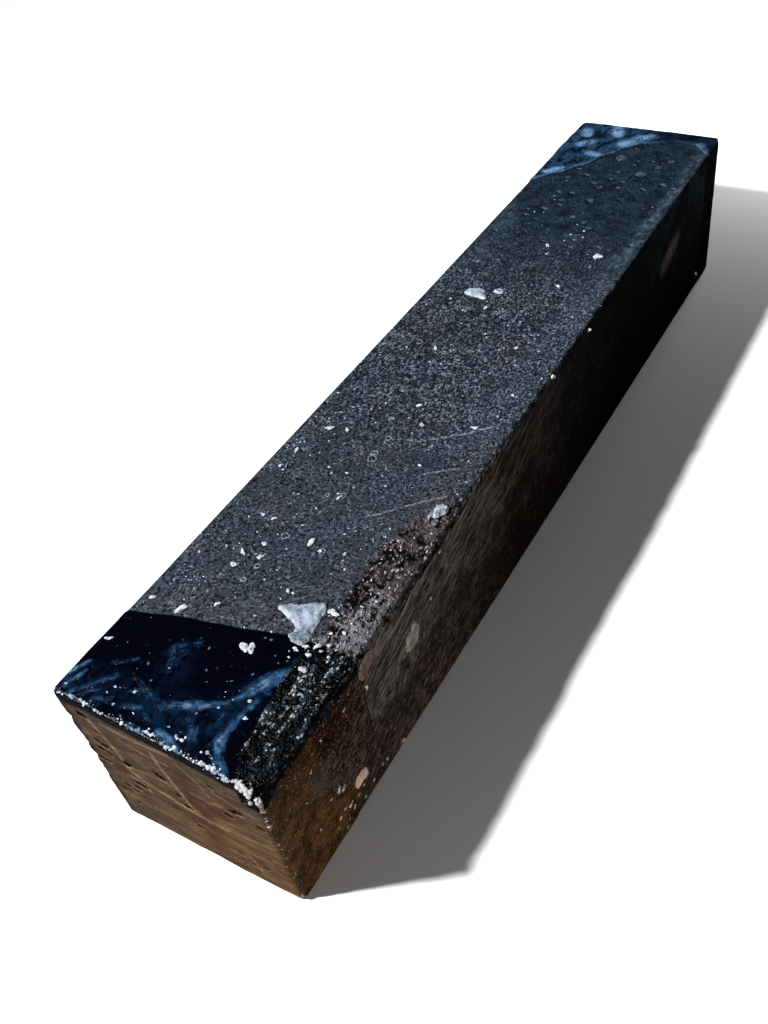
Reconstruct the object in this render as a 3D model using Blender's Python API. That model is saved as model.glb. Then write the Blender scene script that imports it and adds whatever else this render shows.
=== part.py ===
"""A sawn ebony turning blank: the billet, the wax coats on its two dipped ends, and the wax flakes stuck on it.

Units are metres. +X is across the billet, +Y along it from the near end to the far end, +Z up. The origin is
under the middle of the finished object, on the surface that it lies on.
"""
import random

import bmesh
import bpy
from mathutils import Matrix, Vector, noise

# The sawn billet
WIDTH = 0.050
LENGTH = 0.272
HEIGHT = 0.0492

# How far each corner of the sawn block stands off a true box, by side, end and level
CORNER_SHIFT = {
    (-1, -1, 1): (-0.00055, -0.00050, 0.00030),
    (1, -1, 1): (0.00075, -0.00025, -0.00045),
    (-1, -1, -1): (0.00015, -0.00035, 0.0),
    (1, -1, -1): (-0.00050, 0.00120, 0.0),
    (-1, 1, 1): (-0.00005, 0.00005, 0.00015),
    (1, 1, 1): (-0.00045, -0.00015, -0.00010),
    (1, 1, -1): (0.00065, 0.00005, 0.0),
}

# The long arris at the top right is worn: distance from the near end, width off the top, depth off the side
WORN_ARRIS = (
    (0.000, 0.0052, 0.0042),
    (0.008, 0.0085, 0.0046),
    (0.020, 0.0100, 0.0046),
    (0.030, 0.0108, 0.0062),
    (0.040, 0.0104, 0.0036),
    (0.056, 0.0116, 0.0050),
    (0.067, 0.0102, 0.0046),
    (0.077, 0.0062, 0.0022),
    (0.090, 0.0018, 0.0014),
    (0.150, 0.0016, 0.0012),
    (0.272, 0.0012, 0.0010),
)
WORN_ARRIS_LENGTH = 0.082

# Shape of a rounding: 2 is a quarter circle, and less is flatter
ROUND = 2.0
WORN_FLAT = 1.35

# Rounding of the other long arrises, and of the end edges by where they run
ARRIS_ROUNDING = 0.0010
NEAR_END_ROUNDING = {"upright": 0.0013, "top": 0.0010, "bottom": 0.0014}
FAR_END_ROUNDING = {"upright": 0.0022, "top": 0.0012, "bottom": 0.0030}

# Relief of the wood: broad unevenness from the saw, and the torn grain on the worn arris
SAWN_UNEVENNESS = 0.00022
SAWN_WAVE = 0.024
TORN_DEPTH = 0.00075
TORN_GRAIN = 0.0042
TORN_FADE = 0.25

# Grid of the block: lines close to the edges, then a coarser step
EDGE_LINES = (0.0004, 0.0011, 0.0024)
TOP_LINES_AT_WORN_ARRIS = (0.0042, 0.0062, 0.0082, 0.0102, 0.0124)
SIDE_LINES_AT_WORN_ARRIS = (0.0036, 0.0048, 0.0066)
ACROSS_STEP = 0.0062
UPWARD_STEP = 0.0075
NEAR_STEP = 0.0042
FAR_STEP = 0.0080
NEAR_STRETCH = 0.088

# Wax coats: the wood is taken back under the wax so that the coat stands only a little proud of the sawn face
WOOD_TAKEN_BACK = 0.0008
CLEARANCE = 0.0003
COAT_PROUD = 0.0002

# Edge of each coat, as distance from the near end: across the top from the left arris to the right one
NEAR_COAT_EDGE = ((0.000, 0.0224), (0.014, 0.0272), (0.025, 0.0297), (0.035, 0.0324), (0.050, 0.0342))
FAR_COAT_EDGE = (
    (0.000, 0.2250), (0.008, 0.2330), (0.013, 0.2395), (0.019, 0.2505), (0.022, 0.2560),
    (0.027, 0.2605), (0.036, 0.2640), (0.043, 0.2640), (0.050, 0.2580),
)
NEAR_EDGE_DROPS_BELOW = 0.020
NEAR_EDGE_DROP = 0.012
FAR_EDGE_CLEARANCE = 0.0006

# The cutters that part wax from wood: how far they reach past the block, and the levels where they may bend
ZONE_SPARE = 0.006
ZONE_LEVELS = (0.004, 0.008, 0.012, 0.016, 0.020)

# Beads of set wax along the near top edge: distance across from the left arris, and how many sit there
BEAD_CLUSTERS = ((0.010, 2), (0.0135, 1), (0.028, 3), (0.031, 1), (0.039, 2), (0.0435, 3), (0.0465, 2))
BEAD_RADIUS = (0.0005, 0.0010)
BEAD_SPREAD = 0.0012
BEAD_SET_BACK = 0.0008
BEAD_SUNK = 0.25
BEAD_STRETCH = (1.3, 1.0, 0.8)
BEAD_SEED = 11

# Pits in the near end face: distance across from the left, height, and length
END_PITS = (
    (0.0049, 0.0435, 0.0034), (0.0073, 0.0384, 0.0026), (0.0057, 0.0314, 0.0030), (0.0121, 0.0294, 0.0034),
    (0.0107, 0.0206, 0.0040), (0.0222, 0.0323, 0.0034), (0.0262, 0.0239, 0.0036), (0.0265, 0.0155, 0.0028),
    (0.0398, 0.0325, 0.0030), (0.0091, 0.0100, 0.0026), (0.0377, 0.0125, 0.0030),
)
PIT_WIDTH = 0.0011
PIT_DEPTH = 0.00032
PIT_SLANT = 0.45
PIT_SIDES = 8
PIT_RINGS = 5

# Outlines of the flakes on the top, from the left arris and the near end, and how thick they are
PATCH_OUTLINE = (
    (0.0288, 0.0370), (0.0325, 0.0393), (0.0353, 0.0406), (0.0391, 0.0425), (0.0403, 0.0385), (0.0400, 0.0349),
    (0.0406, 0.0325), (0.0402, 0.0306), (0.0372, 0.0307), (0.0353, 0.0322), (0.0362, 0.0342), (0.0326, 0.0354),
)
PATCH_THICKNESS = 0.0007
LARGE_FLAKE_OUTLINE = (
    (0.0112, 0.1567), (0.0117, 0.1590), (0.0142, 0.1607), (0.0163, 0.1598),
    (0.0178, 0.1576), (0.0192, 0.1557), (0.0168, 0.1556), (0.0140, 0.1561),
)
SMALL_FLAKE_OUTLINE = (
    (0.0186, 0.1604), (0.0191, 0.1619), (0.0210, 0.1626), (0.0222, 0.1616), (0.0217, 0.1602), (0.0199, 0.1596),
)
CRUMB_OUTLINE = ((0.0283, 0.0258), (0.0290, 0.0274), (0.0308, 0.0271), (0.0314, 0.0261), (0.0298, 0.0250))
FLAKE_THICKNESS = 0.0006
CRUMB_THICKNESS = 0.0011
FLAKE_RIM_SCALE = 0.86

# The flake on the right side, as distance from the near end and height
SIDE_FLAKE_OUTLINE = (
    (0.0242, 0.0108), (0.0264, 0.0099), (0.0295, 0.0103), (0.0291, 0.0135), (0.0275, 0.0141), (0.0254, 0.0140),
)
SIDE_FLAKE_THICKNESS = 0.0005

# How the meshes are cleaned and shaded: angles in radians
SAME_POINT = 0.000002
FLAT_ANGLE = 0.0008
SHARP_ANGLE = 0.7

# Finishes: base colour, roughness
WOOD_FINISH = ((0.020, 0.017, 0.016), 0.72)
NEAR_WAX_FINISH = ((0.060, 0.038, 0.022), 0.28)
FAR_WAX_FINISH = ((0.030, 0.055, 0.100), 0.32)
FLAKE_FINISH = ((0.62, 0.68, 0.76), 0.45)
SIDE_FLAKE_FINISH = ((0.62, 0.47, 0.42), 0.50)


def blend_between(stops, place, column):
    """Value of a column of stops at a place, easing from each stop to the next."""
    if place <= stops[0][0]:
        return stops[0][column]
    for low, high in zip(stops, stops[1:]):
        if place <= high[0]:
            part = (place - low[0]) / (high[0] - low[0])
            part = part * part * (3.0 - 2.0 * part)
            return low[column] + part * (high[column] - low[column])
    return stops[-1][column]


def round_corner(first, second, first_leg, second_leg, flatness=ROUND):
    """Pull a point near an edge of the block onto the rounding that spans the two legs.

    first and second are the point's depths below the two faces that meet there.
    """
    near_first = max(0.0, 1.0 - first / first_leg)
    near_second = max(0.0, 1.0 - second / second_leg)
    outermost = max(near_first, near_second)
    if min(near_first, near_second) == 0.0:
        return first, second
    reach = (near_first ** flatness + near_second ** flatness) ** (1.0 / flatness)
    shrink = outermost / reach
    return (1.0 - near_first * shrink) * first_leg, (1.0 - near_second * shrink) * second_leg


def worn(point):
    """Where a point of the true box lies once its arrises and end edges are rounded."""
    side = 1 if point.x > 0 else -1
    end = 1 if point.y > 0 else -1
    level = 1 if point.z > HEIGHT / 2 else -1
    depth_x = WIDTH / 2 - side * point.x
    depth_y = LENGTH / 2 - end * point.y
    depth_z = HEIGHT - point.z if level > 0 else point.z

    along = point.y + LENGTH / 2
    if side > 0 and level > 0:
        legs = blend_between(WORN_ARRIS, along, 1), blend_between(WORN_ARRIS, along, 2)
        flatness = WORN_FLAT if along < WORN_ARRIS_LENGTH else ROUND
    else:
        legs = ARRIS_ROUNDING, ARRIS_ROUNDING
        flatness = ROUND
    depth_x, depth_z = round_corner(depth_x, depth_z, *legs, flatness)

    rounding = FAR_END_ROUNDING if end > 0 else NEAR_END_ROUNDING
    upright = rounding["upright"]
    level_edge = rounding["top" if level > 0 else "bottom"]
    depth_x, depth_y = round_corner(depth_x, depth_y, upright, upright)
    depth_z, depth_y = round_corner(depth_z, depth_y, level_edge, level_edge)

    z = HEIGHT - depth_z if level > 0 else depth_z
    return Vector((side * (WIDTH / 2 - depth_x), end * (LENGTH / 2 - depth_y), z))


def out_of_true(point):
    """Shift of a point by the block's corners, weighted by how near each of them is."""
    across = point.x / WIDTH + 0.5
    along = point.y / LENGTH + 0.5
    upward = point.z / HEIGHT
    shift = Vector((0.0, 0.0, 0.0))
    for (side, end, level), corner in CORNER_SHIFT.items():
        weight = across if side > 0 else 1.0 - across
        weight *= along if end > 0 else 1.0 - along
        weight *= upward if level > 0 else 1.0 - upward
        shift += weight * Vector(corner)
    return shift


def relief(point):
    """How far the surface is cut back at a point: sawn unevenness, and torn grain on the worn arris."""
    cut = SAWN_UNEVENNESS * (0.5 + 0.5 * noise.noise(point / SAWN_WAVE))
    along = point.y + LENGTH / 2
    top_leg = blend_between(WORN_ARRIS, along, 1)
    side_leg = blend_between(WORN_ARRIS, along, 2)
    on_top = (point.x - (WIDTH / 2 - top_leg)) / top_leg
    on_side = (point.z - (HEIGHT - side_leg)) / side_leg
    if along < WORN_ARRIS_LENGTH and on_top > 0.0 and on_side > 0.0:
        torn = min(1.0, min(on_top, on_side) / TORN_FADE)
        cut += TORN_DEPTH * torn * (0.5 + 0.5 * noise.noise(point / TORN_GRAIN))
    return cut


def grid_lines(low, high, step, from_low=EDGE_LINES, from_high=EDGE_LINES):
    """Places of the cuts between two faces: the given lines near each, and even steps between."""
    lines = [low + gap for gap in from_low] + [high - gap for gap in from_high]
    start = low + from_low[-1]
    stop = high - from_high[-1]
    count = max(1, round((stop - start) / step))
    lines += [start + (stop - start) * index / count for index in range(1, count)]
    return sorted(lines)


def cut(work, axis, place):
    """Cut a whole bmesh along the plane that crosses the named axis at a place."""
    normal = Vector([float(letter == axis) for letter in "XYZ"])
    whole = work.verts[:] + work.edges[:] + work.faces[:]
    bmesh.ops.bisect_plane(work, geom=whole, plane_co=normal * place, plane_no=normal)


def block_mesh(cut_back=0.0):
    """The whole weathered block as a bmesh, drawn in until every face is cut back by the given depth."""
    block = bmesh.new()
    bmesh.ops.create_cube(block, size=1.0)
    bmesh.ops.scale(block, vec=(WIDTH, LENGTH, HEIGHT), verts=block.verts)
    bmesh.ops.translate(block, vec=(0.0, 0.0, HEIGHT / 2), verts=block.verts)

    near_lines = grid_lines(-LENGTH / 2, -LENGTH / 2 + NEAR_STRETCH, NEAR_STEP, from_high=(0.0,))
    far_lines = grid_lines(-LENGTH / 2 + NEAR_STRETCH, LENGTH / 2, FAR_STEP, from_low=(0.0,))
    cuts = [("X", place) for place in grid_lines(
        -WIDTH / 2, WIDTH / 2, ACROSS_STEP, from_high=EDGE_LINES + TOP_LINES_AT_WORN_ARRIS)]
    cuts += [("Y", place) for place in sorted(set(near_lines + far_lines))]
    cuts += [("Z", place) for place in grid_lines(
        0.0, HEIGHT, UPWARD_STEP, from_high=EDGE_LINES + SIDE_LINES_AT_WORN_ARRIS)]
    for axis, place in cuts:
        cut(block, axis, place)

    cut_faces = [vert for vert in block.verts if vert.co.z > EDGE_LINES[0] / 2]
    for vert in block.verts:
        vert.co = worn(vert.co)
        vert.co += out_of_true(vert.co)
    block.normal_update()
    for vert, step in [(vert, vert.normal * relief(vert.co)) for vert in cut_faces]:
        vert.co -= step
    middle = Vector((0.0, 0.0, HEIGHT / 2))
    shrink = Vector([1.0 - 2.0 * cut_back / size for size in (WIDTH, LENGTH, HEIGHT)])
    for vert in block.verts:
        vert.co = middle + (vert.co - middle) * shrink
    return block


def add_object(name, mesh_source, collection):
    """Put a bmesh into a new object in a collection."""
    mesh = bpy.data.meshes.new(name)
    mesh_source.to_mesh(mesh)
    mesh_source.free()
    made = bpy.data.objects.new(name, mesh)
    collection.objects.link(made)
    return made


def coat_edge(stops, across):
    """Where a coat's edge lies over the given place across the top."""
    return blend_between(stops, across + WIDTH / 2, 1)


def near_edge(across, height):
    """Distance of the near coat's edge from the near end. It drops back low on the right side."""
    drop = max(0.0, 1.0 - height / NEAR_EDGE_DROPS_BELOW) * max(0.0, across / WIDTH + 0.5)
    return coat_edge(NEAR_COAT_EDGE, across) - NEAR_EDGE_DROP * drop


def far_edge(across, height):
    """Distance of the far coat's edge from the near end. It slants the same way at every height."""
    return coat_edge(FAR_COAT_EDGE, across)


def dip_zone(name, edge, end, margin, collection):
    """A cutter that covers one end of the block as far as the coat's edge."""
    columns = [place - WIDTH / 2 for place, distance in FAR_COAT_EDGE + NEAR_COAT_EDGE[1:-1]]
    zone = bmesh.new()
    bmesh.ops.create_cube(zone, size=1.0)
    size = Vector((WIDTH, 0.0, HEIGHT)) + 2 * Vector((ZONE_SPARE, ZONE_SPARE, ZONE_SPARE))
    bmesh.ops.scale(zone, vec=size, verts=zone.verts)
    bmesh.ops.translate(zone, vec=(0.0, end * LENGTH / 2, HEIGHT / 2), verts=zone.verts)
    for place in columns:
        cut(zone, "X", place)
    for place in ZONE_LEVELS:
        cut(zone, "Z", place)
    for vert in zone.verts:
        if abs(vert.co.y) < LENGTH / 2:
            across = max(-WIDTH / 2, min(WIDTH / 2, vert.co.x))
            height = max(0.0, min(HEIGHT, vert.co.z))
            vert.co.y = edge(across, height) - LENGTH / 2 - end * margin
    bmesh.ops.triangulate(zone, faces=zone.faces[:])
    return as_cutter(add_object(name, zone, collection))


def as_cutter(made):
    """Mark an object as a tool that shapes others and isn't part of the object."""
    made.hide_render = True
    made.display_type = "WIRE"
    return made


def boolean(target, operation, tool, collection=None, solver="EXACT"):
    """Apply a Boolean with one tool or with a collection of them.

    The thin coats ask for MANIFOLD, because EXACT leaves open edges where a coat thins out.
    """
    modifier = target.modifiers.new(operation.lower(), "BOOLEAN")
    modifier.operation = operation
    modifier.solver = solver
    if collection is None:
        modifier.object = tool
    else:
        modifier.operand_type = "COLLECTION"
        modifier.collection = collection
    bpy.context.view_layer.update()
    evaluated = target.evaluated_get(bpy.context.evaluated_depsgraph_get())
    mesh = bpy.data.meshes.new_from_object(evaluated)
    target.modifiers.remove(modifier)
    old = target.data
    target.data = mesh
    bpy.data.meshes.remove(old)
    mesh.name = target.name


def merge_flat_faces(made):
    """Join the faces that lie in one plane, then split what is left into triangles."""
    work = bmesh.new()
    work.from_mesh(made.data)
    bmesh.ops.remove_doubles(work, verts=work.verts, dist=SAME_POINT)
    bmesh.ops.dissolve_limit(work, angle_limit=FLAT_ANGLE, verts=work.verts, edges=work.edges)
    bmesh.ops.triangulate(work, faces=work.faces[:])
    work.to_mesh(made.data)
    work.free()


def make_billet(parts, cutters):
    """The wood: the block, taken back under both wax coats."""
    billet = add_object("ebony_billet", block_mesh(), parts)
    core = as_cutter(add_object("core_under_wax", block_mesh(WOOD_TAKEN_BACK), cutters))
    zones = (
        dip_zone("near_wood_zone", near_edge, -1, CLEARANCE, cutters),
        dip_zone("far_wood_zone", far_edge, 1, FAR_EDGE_CLEARANCE, cutters),
    )
    for zone in zones:
        boolean(zone, "DIFFERENCE", core)
        boolean(billet, "DIFFERENCE", zone)
    merge_flat_faces(billet)
    return billet


def make_coat(name, edge, end, parts, cutters):
    """One wax coat: the outside of the block a little proud, open towards the middle, flush underneath."""
    outside = block_mesh(-COAT_PROUD)
    for vert in outside.verts:
        vert.co.z = max(0.0, vert.co.z)
    coat = add_object(name, outside, parts)
    zone = dip_zone(name + "_zone", edge, end, 0.0, cutters)
    inside = as_cutter(add_object(name + "_inside", block_mesh(WOOD_TAKEN_BACK - CLEARANCE), cutters))
    boolean(coat, "INTERSECT", zone, solver="MANIFOLD")
    boolean(coat, "DIFFERENCE", inside, solver="MANIFOLD")
    merge_flat_faces(coat)
    return coat


def cut_end_pits(coat, cutters):
    """Dent the near end face with the long pits that the wax left open."""
    pits = bpy.data.collections.new("end_pits")
    cutters.children.link(pits)
    for number, (across, height, length) in enumerate(END_PITS):
        pit = bmesh.new()
        bmesh.ops.create_uvsphere(pit, u_segments=PIT_SIDES, v_segments=PIT_RINGS, radius=0.5)
        bmesh.ops.scale(pit, vec=(length, 2 * PIT_DEPTH, PIT_WIDTH), verts=pit.verts)
        bmesh.ops.rotate(pit, matrix=Matrix.Rotation(PIT_SLANT, 3, "Y"), verts=pit.verts)
        centre = Vector((across - WIDTH / 2, -LENGTH / 2, height))
        centre += out_of_true(centre) + Vector((0.0, -COAT_PROUD + SAWN_UNEVENNESS / 2, 0.0))
        bmesh.ops.translate(pit, vec=centre, verts=pit.verts)
        as_cutter(add_object("end_pit_%02d" % number, pit, pits))
    boolean(coat, "DIFFERENCE", None, pits, solver="MANIFOLD")


def add_edge_beads(coat, cutters):
    """Fuse the beads of set wax to the near coat along its top edge."""
    draw = random.Random(BEAD_SEED)
    beads = bpy.data.collections.new("edge_beads")
    cutters.children.link(beads)
    for across, count in BEAD_CLUSTERS:
        for number in range(count):
            radius = draw.uniform(*BEAD_RADIUS)
            place = across + draw.uniform(-BEAD_SPREAD, BEAD_SPREAD) * (count > 1)
            centre = worn(Vector((place - WIDTH / 2, -LENGTH / 2, HEIGHT)))
            centre += out_of_true(centre) + Vector((0.0, draw.uniform(0.0, BEAD_SET_BACK), -BEAD_SUNK * radius))
            bead = bmesh.new()
            bmesh.ops.create_icosphere(bead, subdivisions=1, radius=radius)
            bmesh.ops.scale(bead, vec=BEAD_STRETCH, verts=bead.verts)
            bmesh.ops.translate(bead, vec=centre, verts=bead.verts)
            as_cutter(add_object("edge_bead", bead, beads))
    boolean(coat, "UNION", None, beads, solver="MANIFOLD")


def surface_height(across, along):
    """Height of the block's top at a place given from the left arris and the near end."""
    point = worn(Vector((across - WIDTH / 2, along - LENGTH / 2, HEIGHT)))
    return (point + out_of_true(point)).z


def make_top_flake(name, outline, thickness, seat, parts):
    """A thin flake that lies on the top: its outline raised, its upper rim drawn in."""
    floor_height = max(surface_height(*corner) for corner in outline) + seat
    flake = bmesh.new()
    places = [(across - WIDTH / 2, along - LENGTH / 2, floor_height) for across, along in outline]
    flake.faces.new([flake.verts.new(place) for place in places])
    bmesh.ops.recalc_face_normals(flake, faces=flake.faces)
    raise_flake(flake, Vector((0.0, 0.0, thickness)))
    return add_object(name, flake, parts)


def make_side_flake(name, outline, thickness, parts):
    """The flake that lies against the right side, over the edge of the near coat."""
    flake = bmesh.new()
    corners = []
    for along, height in outline:
        face = Vector((WIDTH / 2, along - LENGTH / 2, height))
        corners.append(flake.verts.new(face + out_of_true(face) + Vector((COAT_PROUD + CLEARANCE, 0.0, 0.0))))
    flake.faces.new(corners)
    raise_flake(flake, Vector((thickness, 0.0, 0.0)))
    return add_object(name, flake, parts)


def raise_flake(flake, lift):
    """Turn a flat outline into a closed slab whose raised face is a little smaller than its foot."""
    foot = flake.faces[:][0]
    raised = bmesh.ops.extrude_face_region(flake, geom=[foot])
    top = [item for item in raised["geom"] if isinstance(item, bmesh.types.BMVert)]
    centre = sum((vert.co for vert in top), Vector()) / len(top)
    for vert in top:
        vert.co = centre + (vert.co - centre) * FLAKE_RIM_SCALE + lift
    bmesh.ops.recalc_face_normals(flake, faces=flake.faces)


def finish(made, name, base_color, roughness, smooth=True):
    """Give an object its own plain material and its shading."""
    material = bpy.data.materials.new(name)
    material.use_nodes = True
    shader = material.node_tree.nodes["Principled BSDF"]
    shader.inputs["Base Color"].default_value = (*base_color, 1.0)
    shader.inputs["Roughness"].default_value = roughness
    shader.inputs["Metallic"].default_value = 0.0
    material.diffuse_color = (*base_color, 1.0)
    made.data.materials.clear()
    made.data.materials.append(material)
    if smooth:
        made.data.shade_smooth()
        made.data.set_sharp_from_angle(angle=SHARP_ANGLE)


def centre_over_origin(made_objects):
    """Slide the finished object so that the middle of its box is over the origin."""
    corners = [vert.co for made in made_objects for vert in made.data.vertices]
    middle_x = (min(co.x for co in corners) + max(co.x for co in corners)) / 2
    middle_y = (min(co.y for co in corners) + max(co.y for co in corners)) / 2
    for made in made_objects:
        made.data.transform(Matrix.Translation((-middle_x, -middle_y, 0.0)))


def main():
    for old in list(bpy.data.objects):
        bpy.data.objects.remove(old)
    parts = bpy.data.collections.new("ebony_turning_blank")
    cutters = bpy.data.collections.new("cutters")
    for collection in (parts, cutters):
        bpy.context.scene.collection.children.link(collection)

    billet = make_billet(parts, cutters)
    near_coat = make_coat("wax_near_end", near_edge, -1, parts, cutters)
    add_edge_beads(near_coat, cutters)
    cut_end_pits(near_coat, cutters)
    far_coat = make_coat("wax_far_end", far_edge, 1, parts, cutters)
    seat = COAT_PROUD + CLEARANCE
    patch = make_top_flake("wax_patch", PATCH_OUTLINE, PATCH_THICKNESS, seat, parts)
    large = make_top_flake("wax_flake_large", LARGE_FLAKE_OUTLINE, FLAKE_THICKNESS, CLEARANCE, parts)
    small = make_top_flake("wax_flake_small", SMALL_FLAKE_OUTLINE, FLAKE_THICKNESS, CLEARANCE, parts)
    crumb = make_top_flake("wax_crumb", CRUMB_OUTLINE, CRUMB_THICKNESS, seat, parts)
    side_flake = make_side_flake("wax_flake_side", SIDE_FLAKE_OUTLINE, SIDE_FLAKE_THICKNESS, parts)

    finish(billet, "ebony_wood", *WOOD_FINISH)
    finish(near_coat, "near_wax", *NEAR_WAX_FINISH)
    finish(far_coat, "far_wax", *FAR_WAX_FINISH)
    for flake in (patch, large, small, crumb):
        finish(flake, "white_wax_" + flake.name, *FLAKE_FINISH, smooth=False)
    finish(side_flake, "pink_wax", *SIDE_FLAKE_FINISH, smooth=False)
    centre_over_origin([billet, near_coat, far_coat, patch, large, small, crumb, side_flake])


main()
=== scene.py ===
"""Looks of a waxed ebony turning blank, laid out as an add-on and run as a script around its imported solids.

Board places are metres from the near left lower corner of the sawn block: across, along and up. Each piece
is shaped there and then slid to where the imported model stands. Patterns in materials count in millimetres.
"""
import functools
import math
import random

import bmesh
import bpy
import numpy as np
from mathutils import Color, Matrix, Vector, noise


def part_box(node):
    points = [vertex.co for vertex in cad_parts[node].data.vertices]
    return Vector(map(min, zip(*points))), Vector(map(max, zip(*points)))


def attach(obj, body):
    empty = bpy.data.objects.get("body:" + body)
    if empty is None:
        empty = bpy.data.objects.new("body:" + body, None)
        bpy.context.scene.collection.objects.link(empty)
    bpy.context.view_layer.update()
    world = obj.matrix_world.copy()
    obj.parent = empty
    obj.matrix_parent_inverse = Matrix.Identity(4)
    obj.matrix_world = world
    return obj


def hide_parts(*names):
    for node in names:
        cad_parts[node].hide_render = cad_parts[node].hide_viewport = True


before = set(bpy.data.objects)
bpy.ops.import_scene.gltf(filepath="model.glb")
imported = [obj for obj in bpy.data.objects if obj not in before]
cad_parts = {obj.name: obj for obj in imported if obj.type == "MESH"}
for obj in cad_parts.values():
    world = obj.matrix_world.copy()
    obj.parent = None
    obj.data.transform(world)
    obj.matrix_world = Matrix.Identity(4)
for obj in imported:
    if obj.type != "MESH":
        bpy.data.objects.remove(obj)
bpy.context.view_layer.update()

bl_info = {
    "name": "Waxed Ebony Blank",
    "version": (1, 0, 0),
    "blender": (4, 5, 0),
    "location": "3D View > Sidebar > Blank",
    "description": "Builds the wood, the wax coats and the flakes of a waxed turning blank",
    "category": "Object",
}

MM = 0.001

# The large flake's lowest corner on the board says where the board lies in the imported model
FLAKE_CORNER = (0.0112, 0.1556)
FLAKE_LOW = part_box("wax_flake_large")[0]
BOARD = Vector((FLAKE_LOW.x - FLAKE_CORNER[0], FLAKE_LOW.y - FLAKE_CORNER[1], 0.0))

# The sawn block, and how far each corner stands off a true box in millimetres, by side, end and level
WIDTH = 0.05
LENGTH = 0.272
HEIGHT = 0.0492
BLOCK = np.array([WIDTH, LENGTH, HEIGHT])
CORNER_SHIFT = {
    (0, 0, 1): (-0.6, -0.5, 0.3),
    (1, 0, 1): (0.8, -0.3, -0.4),
    (0, 0, 0): (0.2, -0.4, 0.0),
    (1, 0, 0): (-0.5, 1.2, 0.0),
    (0, 1, 1): (0.0, 0.0, 0.2),
    (1, 1, 1): (-0.4, -0.2, -0.1),
    (1, 1, 0): (0.6, 0.0, 0.0),
}

# The worn arris at the top right, in millimetres: place along the block, width off the top and depth off the
# side. Torn grain reaches further down the side than the wear
WORN_ARRIS = (
    (0, 5.0, 3.0), (8, 8.5, 2.2), (20, 10.0, 1.9), (30, 10.5, 2.3), (40, 10.5, 1.7), (56, 11.0, 2.0),
    (67, 10.0, 1.8), (77, 6.0, 1.4), (90, 1.8, 1.3), (150, 1.6, 1.2), (272, 1.2, 1.0),
)
WORN_ARRIS_LENGTH = 0.082
TORN_REACH = 2.3
ROUND = 2.0
WORN_FLAT = 1.9
ARRIS_ROUNDING = 0.001
NEAR_END_ROUNDING = {"upright": 0.0013, "top": 0.001, "bottom": 0.0014}
FAR_END_ROUNDING = {"upright": 0.0026, "top": 0.0012, "bottom": 0.003}

# Edge of each wax coat, in millimetres: place across the top, and distance from the near end
NEAR_COAT_EDGE = ((0, 22.5), (14, 27.0), (25, 29.5), (35, 32.5), (50, 34.0))
FAR_COAT_EDGE = (
    (0, 225), (8, 233), (13, 239.5), (19, 250.5), (22, 256), (27, 260.5), (36, 264), (43, 264),
    (50, 258),
)
NEAR_EDGE_DROPS_BELOW = 0.02
NEAR_EDGE_DROP = 0.012

# Outlines of the flakes in millimetres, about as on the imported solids: across and along on the top, or along
# and up on the side
PATCH_OUTLINE = (
    (28.5, 37.5), (31, 39.5), (33.5, 40), (35.5, 42), (38.5, 43), (39, 38), (39, 35.5), (40, 33.5),
    (39.5, 31), (36.5, 31), (34.5, 32.5), (36.5, 34.5), (32.5, 36),
)
LARGE_FLAKE_OUTLINE = (
    (11, 156.5), (11.5, 159), (14, 160.5), (16.5, 160), (18, 157.5), (19, 155.5), (14, 156),
)
SMALL_FLAKE_OUTLINE = ((18.5, 160.5), (19, 162), (21, 162.5), (22, 161.5), (21.5, 160), (20, 159.5))
SIDE_FLAKE_OUTLINE = ((23.5, 10.5), (26, 10), (29, 10), (28.5, 13.5), (27, 14), (24.5, 14))

# Outlines of thin pieces of wax that only the scene has
SCAB_OUTLINE = (
    (54.5, 36), (56, 34), (56.5, 31), (55, 28), (52.5, 28), (50.5, 29), (50, 31), (51, 32.5), (51, 34.5),
    (53, 33.5),
)
DRIP_OUTLINE = (
    (38.5, 46), (39.5, 43.5), (38.5, 41.5), (35.5, 40), (34, 40), (33, 42), (33.5, 44), (36.5, 46),
)
LUMP_OUTLINE = ((45.5, 74.5), (45, 77), (46, 78.5), (49, 78.5), (49.5, 76), (48, 75.5), (47, 73.5))
OVAL_OUTLINE = ((41, 26.5), (42, 27.5), (43.5, 27.5), (44, 26.5), (42.5, 26))

# The four joined lumps of the white crumb: across and along in millimetres, turn in degrees
CRUMB_LOBES = ((28.5, 26, 0), (30, 26.5, 50), (30.5, 26, 90), (29.5, 25.5, 130))


def number_property(name, description, value, **more):
    return bpy.props.FloatProperty(name=name, description=description, default=value, **more)


def length_property(name, description, value):
    return number_property(name, description, value, unit="LENGTH")


def colour_property(name, description, value):
    return bpy.props.FloatVectorProperty(name=name, description=description, subtype="COLOR", default=value)


class BlankSizes(bpy.types.PropertyGroup):
    """Sizes of the relief and of the wax."""

    saw_relief: length_property("Saw relief", "Depth of the broad unevenness that the saw left", 0.0002)
    torn_relief: length_property("Torn relief", "Depth of the torn grain on the worn arris", 0.00085)
    coat_thickness: length_property("Coat thickness", "How far the wax stands proud of the wood", 0.00022)
    lip_height: length_property("Lip height", "Height of the raised lip at the far coat's edge", 0.0004)
    small_crumbs: bpy.props.IntProperty(
        name="Small crumbs", description="Number of small wax crumbs strewn over the top", default=520)
    seed: bpy.props.IntProperty(name="Seed", description="Seed of every random draw", default=7)


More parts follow.
